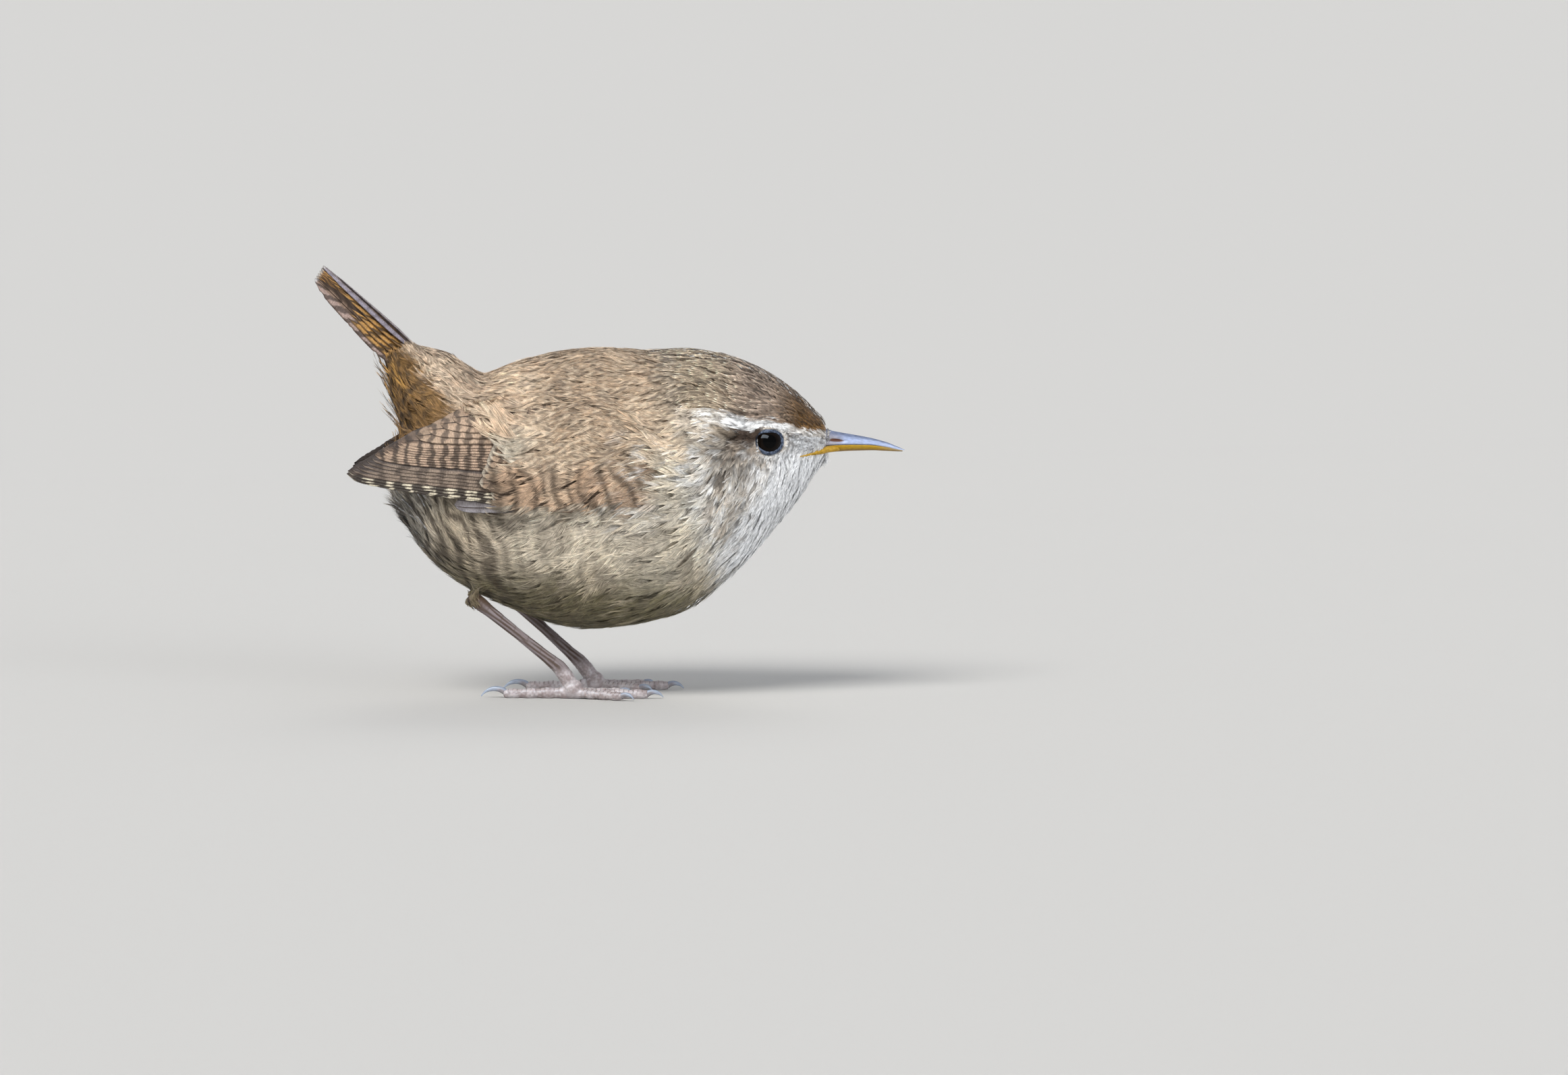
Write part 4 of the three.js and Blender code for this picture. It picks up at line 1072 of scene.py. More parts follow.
def vane_part(
    surface, root, tip, width, lift, bow=0.0, sunk=0.0, shingle=0.22, shaft=0.0, taper=0.0, sharp=0.22,
    frayed=0.0,
):
    """One feather as a thin closed blade with a raised shaft. The surface gives a point from two
    places on it and a lift off it."""
    root, tip = np.asarray(root, float), np.asarray(tip, float)
    long = np.linalg.norm(tip - root)
    ahead = (tip - root) / long
    beside = np.array([ahead[1], -ahead[0]])
    t = np.linspace(0, 1, STATIONS)[:, None]
    c = ACROSS[None]
    narrow = 0.45 + 0.55 * step(0.0, 0.3, t) - taper * step(0.3, 1.0, t)
    blunt = np.sqrt(np.clip(1 - (np.clip(t - 1 + sharp, 0, 1) / sharp) ** 2.4, 0.0004, 1))
    half = width * narrow * blunt
    split = (rng.random((STATIONS, 2)) < 0.12) * rng.uniform(0.02, 0.09, (STATIONS, 2))
    split += frayed * rng.random((STATIONS, 2)) * step(0.8, 0.95, t)
    split = np.where(c < 0, split[:, :1], split[:, 1:]) * np.abs(c) ** 4
    aside = 4 * t * (1 - t) * bow + (c + shaft * (1 - c ** 2)) * half * (1 - split)
    p = root[0] + ahead[0] * long * t + beside[0] * aside
    q = root[1] + ahead[1] * long * t + beside[1] * aside
    height = lift - sunk * (1 - t) ** 3 - shingle * c * (half / width) - 0.09 * c ** 2
    ridge = SHAFT_HEIGHT * np.exp(-(c / 0.06) ** 2) * (1 - 0.8 * t)
    deep = VANE_THICK * (1 - 0.8 * np.abs(c) ** 3) * (1 - 0.5 * t)
    upper = surface(p, q, height + ridge)
    lower = surface(p, q, height - deep)[:, ::-1]
    verts = np.concatenate([upper, lower], 1).reshape(-1, 3)
    sides = 2 * len(ACROSS)
    layers = {
        "along": np.repeat(((1 - t) * long), sides, 1).ravel(),
        "across": np.broadcast_to(np.concatenate([c, c[:, ::-1]], 1), (STATIONS, sides)).ravel(),
    }
    return verts, ring_faces(STATIONS, sides), layers


def feather_piece(name, parts, kinds, replaced):
    """Feathers joined in one piece, each with its own patch of the unwrap, its own shade and bars
    that nearly line up with its neighbours'."""
    verts, tris = join_parts([part[:2] for part in parts])
    layers = {key: np.concatenate([part[2][key] for part in parts]) for key in ("along", "across")}
    offsets, values, uvs, slots = [], [], [], []
    columns = math.ceil(math.sqrt(len(parts)))
    for i, (v, t, measures, kind, phase) in enumerate(parts):
        offsets.append(np.full(len(v), phase + rng.uniform(-0.12, 0.12)))
        values.append(np.full(len(v), rng.uniform(0.8, 1.15)))
        u = (i % columns + 0.5 + 0.42 * measures["across"]) / columns
        w = (i // columns + 0.04 + 0.92 * measures["along"] / measures["along"].max()) / columns
        uvs.append(np.stack([u, w], 1))
        slots.append(np.full(len(t), kinds.index(kind)))
    layers["offset"] = np.concatenate(offsets)
    layers["value"] = np.concatenate(values)
    piece = make_mesh(name, verts, tris, vanes[kinds[0]], layers=layers, uv=np.concatenate(uvs))
    for kind in kinds[1:]:
        piece.data.materials.append(vanes[kind])
    piece.data.polygons.foreach_set("material_index", np.concatenate(slots).astype(np.int32))
    add_piece(piece, "flight_feathers", replaced)


OUTERMOST = dict(root=(-6, 30.4), tip=(-23.6, 30.7), width=1.3, bow=0.2, lift=0.55, shaft=-0.4)
WING_ROWS = [
    dict(kind="primary", count=9, width=(1.7, 1.9), bow=0.5, sunk=0.2, lift=(0.5, 0.9), shaft=-0.45,
         roots=((-9, 31.1), (-10.5, 35.6)), tips=((-36, 34.2), (-36.6, 37.6)), reach=4.3),
    dict(kind="secondary", count=9, width=(1.9, 2.1), bow=0.7, sunk=0.4, lift=(1, 1.2), shaft=-0.3,
         roots=((-8.5, 36.4), (-8.5, 40.6)), tips=((-36, 38), (-31.5, 40.2)), reach=0),
    dict(kind="tertial", count=4, width=(2.0, 2.1), bow=0.7, sunk=0.5, lift=(1.35, 1.45), shaft=-0.1,
         roots=((-8, 41.0), (-6, 43.4)), tips=((-29.6, 40.8), (-24, 43.4)), reach=0),
    dict(kind="covert", count=6, width=(1.3, 1.4), bow=0.3, sunk=0.6, lift=(0.9, 1.2), shaft=-0.2,
         roots=((-2, 30.4), (-3, 33.4)), tips=((-16.5, 31.2), (-19.5, 34.2)), reach=0),
    dict(kind="covert", count=10, width=(1.35, 1.5), bow=0.4, sunk=0.9, lift=(1.45, 1.7), shaft=-0.1,
         roots=((-5, 34.6), (-4.5, 42.6)), tips=((-19, 35.4), (-16.5, 43.2)), reach=0),
]
OUTER_PRIMARIES = 4  # the lowest ones, with pale bars on their outer webs
BLUNT = 0.22
POINTED = 0.45


def wing_feathers(side):
    def surface(p, q, lift):
        return wing_place(p, q, lift, side)

    parts = [(*vane_part(surface, **OUTERMOST), "outer_primary", 0.0)]
    for row in WING_ROWS:
        kind = row["kind"]
        for i in range(row["count"]):
            t = i / (row["count"] - 1)
            root, tip = (mix(*np.array(row[k], float), t) for k in ("roots", "tips"))
            tip[0] -= row["reach"] * math.sin(math.pi * math.sqrt(t))
            if kind == "covert":
                tip += rng.normal(0, (0.4, 0.12))
            made = vane_part(
                surface, root, tip, mix(*row["width"], t), mix(*row["lift"], t), row["bow"], row["sunk"],
                shaft=row["shaft"], sharp=BLUNT if kind == "covert" else POINTED,
            )
            pitch = SECONDARY_PITCH if kind in ("secondary", "tertial") else PITCH
            if kind == "primary" and i >= OUTER_PRIMARIES:
                kind = "inner_primary"
            parts.append((*made, kind, 0.0 if kind == "covert" else tip[0] / pitch))
    if side > 0:
        parts = [(v, t[:, ::-1], *rest) for v, t, *rest in parts]
    return parts


wing_tree = {}
for side, label in SIDES:
    parts = wing_feathers(side)
    verts, tris = join_parts([part[:2] for part in parts])
    wing_tree[side] = BVHTree.FromPolygons(verts.tolist(), tris.tolist())
    feather_piece(f"wing_feathers_{label}", parts, WING_VANES, f"wing_{label}")

RECTRIX_ROOT = 13.0
RECTRIX_START = 16.0  # where the tail's feathers come out of the coat, for their lie
RECTRIX_TIP = 34.1
PAIRS = 6


def rectrix(pair, side):
    """One of the tail's feathers, which lie in a roof with the middle pair on top."""
    steep = 0.3 + 0.13 * pair

    def surface(along, across, lift):
        t = (along - RECTRIX_START) / (RECTRIX_TIP - RECTRIX_START)
        middle = mix(0.3 + 0.3 * pair, 0.85 + 0.78 * pair, t)
        height = mix(3 - 0.62 * pair, 1.15 - 0.4 * pair, t)
        out = side * (middle + across * math.cos(steep) + lift * math.sin(steep))
        return tail_place(along, out, height - across * math.sin(steep) + lift * math.cos(steep))

    tip = (RECTRIX_TIP - 0.12 * pair, 0)
    verts, tris, layers = vane_part(
        surface, (RECTRIX_ROOT, 0), tip, 1.95, 0, shingle=0, shaft=0.15, taper=0.35, frayed=0.5
    )
    kind = TAIL_VANES[0 if pair == 0 else 2 if pair == PAIRS - 1 else 1]
    return verts, tris[:, ::-1] if side > 0 else tris, layers, kind, 0.04 * pair


tail_parts = [rectrix(pair, side) for pair in range(PAIRS) for side in (RIGHT, LEFT)]
feather_piece("tail_feathers", tail_parts, TAIL_VANES, "tail")


# Where feathers grow

COVERT_LINE = -12.5
COVERT_RISE = 1.1  # how far the coat is lifted to lie over the wing's feathers
UNDER_WING_REACH = 3.0
UNDER_WING_EDGE = 1.2
BILL_EDGE = {"x": 32.8, "half": 1.9, "high": 1.95}


def under_wing(p):
    """Whether each point lies close under the wing's feathers, a little in from their edge."""
    covered = np.zeros(len(p), bool)
    for i, q in enumerate(p):
        side = RIGHT if q[1] < 0 else LEFT
        outward = Vector((0, q[1], 0.6 * (q[2] - BODY_MIDDLE_Z))).normalized()
        hits = 0
        for dx, dz in ((1, 0), (-1, 0), (0, 1), (0, -1)):
            start = Vector((q[0] + dx * UNDER_WING_EDGE, q[1], q[2] + dz * UNDER_WING_EDGE))
            hits += wing_tree[side].ray_cast(start, outward, UNDER_WING_REACH)[0] is not None
        covered[i] = hits == 4
    return covered


def near_bill(p):
    aside = np.hypot(p[:, 1] / BILL_EDGE["half"], (p[:, 2] - BILL_BASE[2]) / BILL_EDGE["high"])
    return (p[:, 0] > BILL_EDGE["x"]) & (aside < 1.0)


def in_front(p):
    """Whether each point lies ahead of the ragged line where the coverts come out of the coat."""
    return p[:, 0] > COVERT_LINE + 2.4 * ripple(p, 3.0, 41)


def keep_front(p):
    return in_front(p) & (eye_gap(p) >= 1) & ~near_bill(p)


def keep_rear(p):
    behind = ~in_front(p)
    behind[behind] &= ~under_wing(p[behind])
    return behind


def keep_scapular(p):
    low = np.interp(p[:, 0], [-18, COVERT_LINE], [44.8, 40.5])
    return ~in_front(p) & (p[:, 0] > -17) & (p[:, 2] > low) & (p[:, 2] < 46.5) & (np.abs(p[:, 1]) > 5)


def keep_plume(p):
    along, above = on_tail(p)
    return (along > 1.0) & (along < 11) & (above < 0.5) & (np.abs(p[:, 1]) < 8) & (p[:, 0] < -22)


def keep_fluff(p):
    return (p[:, 0] < -27) & (p[:, 2] > 21) & (p[:, 2] < 35)


def spacing(p):
    return growth(p)["spacing"]


def to_tail(p, n):
    """Backwards at first, and then up along the tail."""
    return laid(mix(np.array([-1.0, 0, 0.1]), TAIL_AXIS, step(-27, -33, p[:, 0:1])), n)


# Feathers over the body

coat = coat_material("plumage", 0.72, 0.12)


def dress(name, surface, places, barbs, lie=0.0, course=flow, tone=None, **fixed):
    """Grows the feathers of one part of the coat at its places, which are roots and normals."""
    roots, normals = places
    sizes = growth(roots)
    for key, value in fixed.items():
        sizes[key] = np.full(len(roots), float(value))
    for key in ("length", "width"):
        sizes[key] = sizes[key] * rng.uniform(0.85, 1.12, len(roots))
    sizes["lie"] = rng.uniform(0.02, 0.22, len(roots)) * step(0.3, 1.5, sizes["depth"]) + 0.03 + lie
    if surface is whole:
        x, y, z = roots[:, 0], np.abs(roots[:, 1]), roots[:, 2]
        over_wing = step(-4, -11, x) * step(28.5, 30.5, z) * step(45, 43, z) * step(7, 9, y)
        sizes["lie"] = sizes["lie"] - COVERT_RISE * over_wing
    made = grow_feathers(surface, roots, normals, sizes, barbs, course, tone)
    coat_pieces(name, coat, roots, *made)


FACE_WIDTH = 0.62  # the widths of feather at which the face ends and the head ends
HEAD_WIDTH = 1.4
roots, normals = whole.scattered(60000, keep_front, spacing)
width = growth(roots)["width"]
for name, rows, barbs in (
    ("coat_face", width < FACE_WIDTH, 24),
    ("coat_head", (width >= FACE_WIDTH) & (width < HEAD_WIDTH), 36),
    ("coat_front", width >= HEAD_WIDTH, 60),
):
    dress(name, whole, (roots[rows], normals[rows]), barbs)
dress("coat_rear", flesh, flesh.scattered(30000, keep_rear, spacing), 60)
dress("coat_scapular", whole, whole.scattered(60000, keep_scapular, spacing), 60, lie=-0.3, depth=0.6)
dress(
    "undertail_plumes", flesh, flesh.scattered(9000, keep_plume, 1.25), 42, course=to_tail, tone=PLUME,
    length=10.5, width=1.0, bars=1.0, pitch=3.4, pale=0.5, loose=2.6, spread=9, open=0.26, depth=0.6,
    vary=0.3,
)
dress(
    "vent_fluff", flesh, flesh.scattered(12000, keep_fluff, 2.0), 18, tone=VENT_TIP, length=4.6, width=0.5,
    bars=0.7, pitch=2.6, loose=2.4, spread=16, depth=1.0, pale=0.4, open=0.5,
)


def boot(label, leg):
    """Short feathers that cover the thigh's end and run onto the shin."""
    heel, joint, knee = (leg_point(leg, key) for key in ("heel", "joint", "knee"))
    shin = unit(joint - heel)
    thigh = unit(heel - knee)
    sleeve = tube_part([heel - shin * 0.8, heel + shin * 1.2, heel + shin * 3.0], [1.35, 1.3, 1.1], 16)
    form = Envelope(*remeshed([node_part(f"thigh_{label}"), sleeve], 0.3, 4)[:2])

    def keep(p):
        return ((p - heel) @ thigh > -6.5) & ((p - heel) @ shin < -0.7)

    def down_leg(p, n):
        return laid(mix(thigh, shin, step(-2.5, 0.5, (p - heel) @ thigh)[:, None]), n)

    dress(
        f"boot_{label}", form, form.scattered(3000, keep, 0.55), 30, course=down_leg, tone=BOOT, length=2.0,
        width=0.75, depth=0.3, loose=0.35, spread=10, bars=0.3, pitch=1.2, pale=0.6, open=0.7,
    )


for label, leg in LEGS.items():
    boot(label, leg)


# Eyes and lids

SMALL_BARBS = 12  # in the feathers round the eye and by the bill
eye_glass = eye_material()
# dark grey lid skin tinted blue: partly its own tone and partly a painted reflection of the sky
lid_skin = plain_material("lid", (0.025, 0.033, 0.05), (0.11, 0.14, 0.205), 3.0)


def eye(label):
    """The ball, its beaded lid and the rows of small feathers round it."""
    centre, radius, axis = EYES[label]
    side = unit(np.cross(axis, UPRIGHT))
    across, down = 48, 32
    verts, tris = ball_part(centre, radius, (np.cross(side, axis), side, axis), across, down)
    out = np.repeat(np.cos((np.arange(down) + 0.5) * math.pi / down), across)
    ball = make_mesh(f"eyeball_{label}", verts, tris, eye_glass, layers={"out": out})
    add_piece(ball, "eye", f"eye_{label}")
    reach, height = lid_line(radius)
    beads = LID_THICK * (1 + 0.05 * np.cos(TURN * 30) + 0.3 * np.cos(TURN - 3.5))
    verts, tris, ring = ring_part(centre, axis, reach, beads, height)
    outer = ring_part(centre, axis, reach + 0.18, np.full(len(TURN), 0.2), height - 0.15)
    lid = make_mesh(f"lid_{label}", *join_parts([(verts, tris), outer[:2]]), lid_skin)
    add_piece(lid, "leg_skin")

    def from_eye(p, n):
        return laid(unit(p - centre) * 1.2 + np.array([-0.5, 0, -0.1]), n)

    below = np.flatnonzero(np.sin(TURN) < 0.3)
    everywhere = np.arange(len(TURN))
    rows = (
        (everywhere, 64, 0.12, 0.6, None),
        (everywhere, 56, 0.4, 0.8, None),
        (below, 26, 0.26, 0.9, EYE_RING),
    )
    for row, (places, count, away, size, tone) in enumerate(rows):
        pick = places[np.linspace(0, len(places), count, endpoint=False).astype(int)]
        edge = centre + ring[pick] * (reach[pick] + away)[:, None] + axis * height[pick, None]
        dress(
            f"eye_ring_{row + 1}_{label}", whole, whole.nearest(edge + rng.normal(0, 0.03, edge.shape)),
            SMALL_BARBS, course=from_eye, tone=tone, length=size, width=0.24, depth=0.12, spread=8,
            streak=0.25, loose=0.0, open=0.6,
        )


for side, label in SIDES:
    eye(label)


def bristles(name, low, high, place_x, radius, ahead, count=90, **fixed):
    """Short bristly feathers over the base of the bill, between two turns round it."""
    angle = rng.uniform(low, high, count)
    place = np.stack([
        rng.uniform(*place_x, count), radius * np.cos(angle), BILL_BASE[2] + radius * np.sin(angle),
    ], 1)

    def course(p, n):
        return laid(np.broadcast_to(np.array(ahead), p.shape), n)

    dress(name, whole, whole.nearest(place), SMALL_BARBS, course=course, depth=0.35, open=0.6, **fixed)


bristles(
    "coat_nasal", -0.3, math.pi + 0.3, (33.0, 34.6), 2.0, (1.0, 0, 0.12), length=1.7, width=0.26,
    spread=16, streak=0.4, loose=0.5,
)
bristles(
    "coat_chin", math.pi + 0.5, FULL_TURN - 0.5, (32.6, 34.6), 2.2, (0.35, 0, -1.0), length=1.5,
    width=0.3, spread=14, streak=0.0, loose=0.9, tone=THROAT,
)


# Bill

BILL = {
    "x": [31.6, 34.1, 36.2, 38.5, 41, 43.3, 45.1, 45.85],
    "ridge": [42.3, 41.3, 40.85, 40.45, 39.95, 39.3, 38.55, 38.18],
    "mouth": [38.7, 38.95, 39.05, 39.05, 38.95, 38.6, 38.2, 38.08],
    "chin": [37.2, 37.75, 37.95, 38.05, 38.1, 38.0, 37.92, 37.94],
    "half": [2.1, 1.75, 1.4, 1.1, 0.82, 0.55, 0.3, 0.08],
}
BILL_RINGS = 72
BILL_ARC = 26
MOUTH_GAP = 0.05
LOWER_SHORTER = 0.3
NOSTRIL = {"x": 35.2, "z": 39.72, "slope": -0.1, "long": 1.35, "high": 0.27, "deep": 0.42}


def mandible(outer, upper):
    """Half of the bill from its edge at the mouth to its outer line, the upper one with nostrils."""
    away = 1 if upper else -1
    x = np.linspace(BILL["x"][0], BILL["x"][-1] - (0 if upper else LOWER_SHORTER), BILL_RINGS)
    u = np.interp(x, BILL["x"], np.arange(len(BILL["x"])))
    half = smooth(BILL["half"], u)[:, None]
    mouth = smooth(BILL["mouth"], u)[:, None] + away * MOUTH_GAP
    far = smooth(outer, u)[:, None]
    angle = np.linspace(0, math.pi, BILL_ARC)[None]
    rise = np.sin(angle) ** 0.85
    y = half * np.cos(angle) * (1 - 0.12 * rise)
    z = mouth + rise * (far - mouth)
    pit = np.zeros_like(y)
    if upper:
        ahead = x[:, None] - NOSTRIL["x"]
        above = z - NOSTRIL["z"] - NOSTRIL["slope"] * ahead
        gap = (ahead / NOSTRIL["long"]) ** 2 + (above / NOSTRIL["high"]) ** 2
        pit = NOSTRIL["deep"] * np.exp(-gap ** 1.6)
        hollow = 0.14 * np.exp(-gap / 5)
        rim = 0.07 * np.exp(-((above - 0.42) / 0.13) ** 2 - (ahead / 1.3) ** 2)
        y = np.sign(y) * np.maximum(np.abs(y) - pit - hollow + rim, 0.05)
    verts = np.stack([x[:, None] + 0 * y, y, z], -1)
    inner = np.stack([x[:, None] + 0 * half, 0 * half, mouth + away * 0.12 + 0 * half], -1)
    verts = np.concatenate([verts, inner], 1).reshape(-1, 3)
    faces = ring_faces(BILL_RINGS, BILL_ARC + 1)
    layers = {
        "along": np.repeat(x - BILL["x"][1], BILL_ARC + 1),
        "height": np.concatenate([np.broadcast_to(rise, y.shape), 0 * half], 1).ravel(),
        "pit": np.concatenate([pit / NOSTRIL["deep"], 0 * half], 1).ravel(),
    }
    return verts, faces if upper else faces[:, ::-1], layers


# the upper bill's blue is partly its own grey horn and partly a painted reflection of the sky
upper_horn = horn_material(
    "upper_bill", [(0.34, 0.33, 0.38), (0.35, 0.42, 0.62), (0.42, 0.49, 0.68)], (0.13, 0.16, 0.25),
    [(0.5, 3.0), (7.0, 11.0)], 0.26, 0.18, pit=(0.13, 0.055, 0.035),
)
lower_horn = horn_material(
    "lower_bill", [(0.42, 0.24, 0.01), (0.42, 0.25, 0.02), (0.36, 0.26, 0.13)], (0.24, 0.13, 0.02),
    [(0.5, 5.0), (7.0, 11.0)], 0.3, 0.15,
)
for label, outer, horn in (("upper", "ridge", upper_horn), ("lower", "chin", lower_horn)):
    verts, faces, layers = mandible(BILL[outer], label == "upper")
    piece = make_mesh(f"bill_horn_{label}", verts, faces, horn, layers=layers)
    add_piece(piece, f"{label}_bill", f"bill_{label}")

gape_skin = plain_material("gape", (0.36, 0.21, 0.02), (0.48, 0.29, 0.045), 2.0)
for side, label in SIDES:
    t = np.linspace(0, 1, 24)
    line = np.stack([mix(35.6, 28.6, t), side * mix(1.2, 5.2, t ** 0.9), mix(38.42, 37.55, t ** 1.3)], 1)
    places, norms = flesh.nearest(line)
    line = mix(line, places - norms * 0.12, step(34.8, 33.6, line[:, 0:1]))
    verts, faces = tube_part(line, np.interp(t, [0, 0.25, 0.6, 1], [0.3, 0.5, 0.26, 0.06]), 14)
    add_piece(make_mesh(f"gape_{label}", verts, faces, gape_skin), "lower_bill")


# Legs, feet and claws

TOES = [
    dict(name="hind", heading=176, length=10.8, claw=4.6, girth=1),
    dict(name="inner", heading=27, length=8.2, claw=2.7, girth=0.88),
    dict(name="middle", heading=-3, length=11.6, claw=3.1, girth=0.95),
    dict(name="outer", heading=-31, length=9, claw=2.7, girth=0.88),
]
TOE_RADII = [0.95, 0.98, 0.76, 0.92, 0.72, 0.88, 0.7, 0.82, 0.62]
TOE_HEIGHT = 0.7
SHIN_PLACES = [-0.04, 0.06, 0.18, 0.5, 0.82, 0.96]
SHIN_RADII = [1.05, 1.1, 0.93, 0.8, 0.9, 1.12]
SCUTE = 2.6  # the length of a plate on the shin
TOE_SCUTE = 0.72
PEBBLE = 0.42
CLAW_CURL = 0.5
CLAW_SIDES = 16
CLAW_CLEAR = 0.24
leg_skin = leg_material()
claw_horn = horn_material(
    "claw", [(0.26, 0.24, 0.25), (0.33, 0.37, 0.45), (0.42, 0.49, 0.62)], (0.26, 0.30, 0.38),
    [(0.3, 1.5), (2.0, 4.0)], 0.25, 0.15,
)


def toe_path(leg, toe):
    angle = math.radians(toe["heading"])
    way = np.array([math.cos(angle), -leg["side"] * math.sin(angle), 0])
    t = np.linspace(0, 1, 34)
    points = leg_point(leg, "sole") + way * (toe["length"] * t)[:, None]
    points[:, 2] = TOE_HEIGHT + 0.25 * (1 - t) ** 2
    radii = smooth(TOE_RADII, t * (len(TOE_RADII) - 1)) * toe["girth"]
    return points, radii, way


def saw(value):
    """A slope that rises through each step and drops at its end."""
    return value - np.floor(value)


def rim_of(phase, width):
    """1 where a plate ends and the next begins, and 0 over each plate."""
    return np.exp(-(np.minimum(phase, 1 - phase) / width) ** 2)


def line_at(value, place, width):
    return np.exp(-((value - place) / width) ** 2)


def pebbles(points, size):
    """A rounded bump for each cell of a surface, from 1 at its middle to 0 between cells."""
    seeds = spaced(points, np.full(len(points), size), rng.permutation(len(points)))
    middles = point_tree(points[seeds])
    gap = np.array([middles.find(p)[2] for p in points])
    return np.clip(1 - (gap / (0.62 * size)) ** 2, 0, 1)


def leg_form(leg, paths):
    """The shin, ankle and toes in one surface."""
    heel, joint, sole = (leg_point(leg, key) for key in ("heel", "joint", "sole"))
    along = np.linspace(SHIN_PLACES[0], SHIN_PLACES[-1], 38)
    shin = heel + (joint - heel) * along[:, None]
    ends = [joint + (sole - joint) * k for k in (0.35, 0.85)]
    girth = np.concatenate([np.interp(along, SHIN_PLACES, SHIN_RADII), [1.2, 1.2]])
    parts = [tube_part(np.concatenate([shin, ends]), girth, 24)]
    parts += [ball_part((sole[0], sole[1], 1.45), 1.6), ball_part(heel, 1.12)]
    parts += [tube_part(points, radii, 20) for points, radii, _ in paths]
    return remeshed(parts, 0.13, 4)[:2]


def leg_piece(label, leg):
    """A shin and foot with long plates on the front of the shin, short ones on top of the toes and
    round scales on the ankle and below the toes."""
    heel, joint = leg_point(leg, "heel"), leg_point(leg, "joint")
    paths = [toe_path(leg, toe) for toe in TOES]
    points, tris = leg_form(leg, paths)
    normals = point_normals(points, tris)
    way = unit(joint - heel)
    t = (points - heel) @ way
    facing = normals @ laid(np.array([1.0, 0, 0.9]), way)
    on_shin = step(4.4, 5.4, points[:, 2])
    plate = saw(t / SCUTE + 0.1 * facing)
    lift = on_shin * step(-0.2, 0.2, facing) * (0.04 * plate - 0.02)
    groove = 0.55 * on_shin * step(-0.2, 0.1, facing) * rim_of(plate, 0.035)
    seam = on_shin * np.maximum(line_at(facing, -0.22, 0.09), line_at(facing, 0.5, 0.08))
    lift -= 0.05 * seam
    groove = np.maximum(groove, 0.5 * seam)

    scales = pebbles(points, PEBBLE)
    rough = (1 - on_shin) * step(0.9, 1.4, points[:, 2])
    for path, _, toe_way in paths:
        s = (points - path[0]) @ toe_way
        aside = np.abs((points - path[0]) @ np.array([-toe_way[1], toe_way[0], 0]))
        mine = step(1.25, 0.95, aside) * step(1.2, 1.8, s) * (points[:, 2] < 2.2)
        plate = saw(s / TOE_SCUTE)
        top = step(0.25, 0.6, normals[:, 2])
        lift += mine * top * (0.08 * plate - 0.04)
        groove = np.maximum(groove, 0.7 * mine * top * rim_of(plate, 0.09))
        rough = mix(rough, 1 - top, mine)
    rough = rough * step(0.05, 0.25, points[:, 2])
    lift += rough * (0.06 * scales - 0.03)
    groove = np.maximum(groove, 0.25 * rough * step(0.35, 0.0, scales))

    top = step(3.4, 0.2, t)
    wrinkle = 0.5 + 0.5 * np.sin(FULL_TURN * (t / 0.55 + 0.6 * ripple(points, 2.0, 61)))
    lift += 0.05 * top * wrinkle
    aside = points[:, 1] - heel[1] - t * way[1]
    grain = step(-0.7, 0.7, ripple(np.stack([1.5 * facing, 1.5 * aside, 0.22 * t], 1), 0.9, 83))
    points = points + normals * lift[:, None]
    points[:, 2] = np.maximum(points[:, 2], 0.0)
    foot = step(5.2, 3.6, points[:, 2])
    layers = {"groove": groove, "foot": foot, "top": top * (0.7 + 0.3 * wrinkle), "grain": grain}
    piece = make_mesh(f"leg_{label}", points, tris, leg_skin, layers=layers)
    add_piece(piece, "leg_skin", f"tarsus_{label}", f"foot_{label}")


def claw_piece(label, leg, toe):
    """A claw on an arc from the toe's end down to the floor."""
    points, _, way = toe_path(leg, toe)
    radius = toe["claw"] / 1.5
    t = np.linspace(-0.12, 1, 30)
    angle = 1.5 * t - CLAW_CURL
    along = radius * (np.sin(angle) + math.sin(CLAW_CURL)) * 0.86 + 0.05
    path = np.array([*points[-1, :2], TOE_HEIGHT + 0.12]) + way * along[:, None]
    path[:, 2] += radius * (np.cos(angle) - math.cos(CLAW_CURL)) * 0.86
    path[:, 2] += max(0.0, CLAW_CLEAR - path[-1, 2])
    girth = toe["girth"] * np.interp(t, [-0.12, 0, 0.5, 1], [0.5, 0.5, 0.34, 0.06])
    verts, faces = tube_part(path, girth, CLAW_SIDES)
    layers = {
        "along": np.repeat(np.maximum(along, 0), CLAW_SIDES),
        "height": np.tile(0.5 + 0.5 * np.sin(turns(CLAW_SIDES)), len(t)),
    }
    piece = make_mesh(f"talon_{label}_{toe['name']}", verts, faces, claw_horn, layers=layers)
    add_piece(piece, "claw", f"claw_{label}_{toe['name']}")


for label, leg in LEGS.items():
    leg_piece(label, leg)
    for toe in TOES:
        claw_piece(label, leg, toe)


# Floor, light and camera

FLOOR_HALF = 20000.0
FLOOR_COLOUR = (0.56, 0.555, 0.54, 1)
SUNS = {
    "key": dict(energy=2.7, width=30, way=(0.35, 0.62, -0.70), colour=(1.0, 0.975, 0.94)),
    "fill": dict(energy=1.3, width=40, way=(-0.66, 0.72, -0.2), colour=(0.93, 0.96, 1.0)),
    "rim": dict(energy=0.7, width=30, way=(-0.1, -0.78, -0.62), colour=(1.0, 0.98, 0.95)),
}
SKY_COLOUR = (0.88, 0.92, 1.0, 1)
SKY_STRENGTH = 0.45

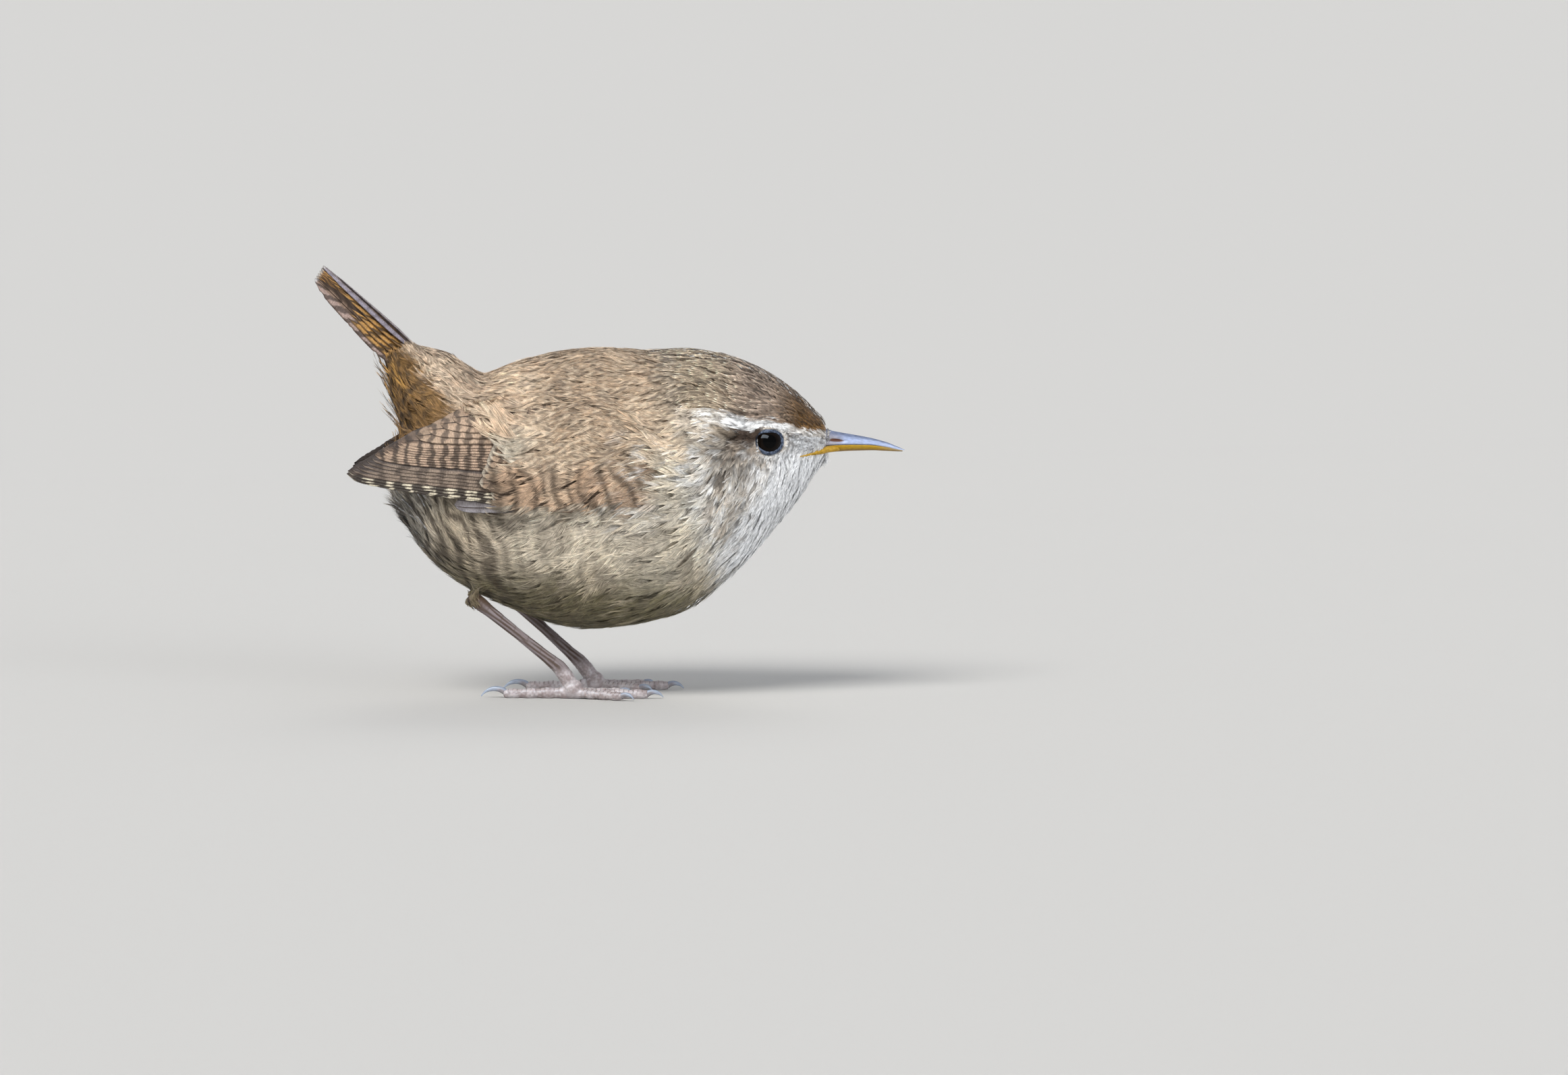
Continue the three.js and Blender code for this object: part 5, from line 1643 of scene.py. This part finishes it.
floor_material, _, shader = new_material("floor")
set_values(shader, Roughness=1.0, Specular_IOR_Level=0.0, Base_Color=FLOOR_COLOUR)
corners = np.array([[-1, -1, 0], [1, -1, 0], [1, 1, 0], [-1, 1, 0]]) * FLOOR_HALF
floor = make_mesh("floor", corners, [[0, 1, 2], [0, 2, 3]], floor_material)

scene = bpy.context.scene
scene.view_settings.view_transform = "Standard"
scene.world = bpy.data.worlds.new("studio")
scene.world.use_nodes = True
set_values(scene.world.node_tree.nodes["Background"], Color=SKY_COLOUR, Strength=SKY_STRENGTH)


def add_light(name, kind, energy, colour):
    data = bpy.data.lights.new(name, kind)
    data.energy = energy
    data.color = colour
    return linked(name, data)


for name, sun in SUNS.items():
    light = add_light(name, "SUN", sun["energy"], sun["colour"])
    light.data.angle = math.radians(sun["width"])
    light.rotation_euler = Vector(sun["way"]).to_track_quat("-Z", "Y").to_euler()
    light.visible_glossy = False

# A wide pale panel a metre away that shows only in what shines

PANEL_SIZE = (1.5, 0.5)
PANEL_ENERGY = 50
PANEL_COLOUR = (0.80, 0.90, 1.0)
PANEL_WAY = Vector((-0.54, -0.42, 0.73)).normalized()
PANEL_SIDE = Vector((-0.68, 0.69, -0.25))
HEAD_PLACE = Vector((0.025, 0, 0.04))
panel = add_light("panel", "AREA", PANEL_ENERGY, PANEL_COLOUR)
panel.data.shape = "RECTANGLE"
panel.data.size, panel.data.size_y = PANEL_SIZE
level = (PANEL_SIDE - PANEL_WAY * PANEL_SIDE.dot(PANEL_WAY)).normalized()
turned = Matrix((level, PANEL_WAY.cross(level), PANEL_WAY)).transposed().to_4x4()
panel.matrix_world = Matrix.Translation(PANEL_WAY + HEAD_PLACE) @ turned
panel.visible_diffuse = False

PHOTO_WIDTH = 2324
MM_PER_PIXEL = 0.105
AIM = Vector((27.1 * MM, 0, 24.5 * MM))
DISTANCE = 1.4
ELEVATION = math.radians(4)
SENSOR = 36.0
camera = linked("camera", bpy.data.cameras.new("camera"))
camera.data.sensor_width = SENSOR
camera.data.lens = SENSOR * DISTANCE / (PHOTO_WIDTH * MM_PER_PIXEL * MM)
camera.data.clip_end = 100
camera.location = AIM + Vector((0, -math.cos(ELEVATION), math.sin(ELEVATION))) * DISTANCE
camera.rotation_euler = (AIM - camera.location).to_track_quat("-Z", "Y").to_euler()
scene.camera = camera
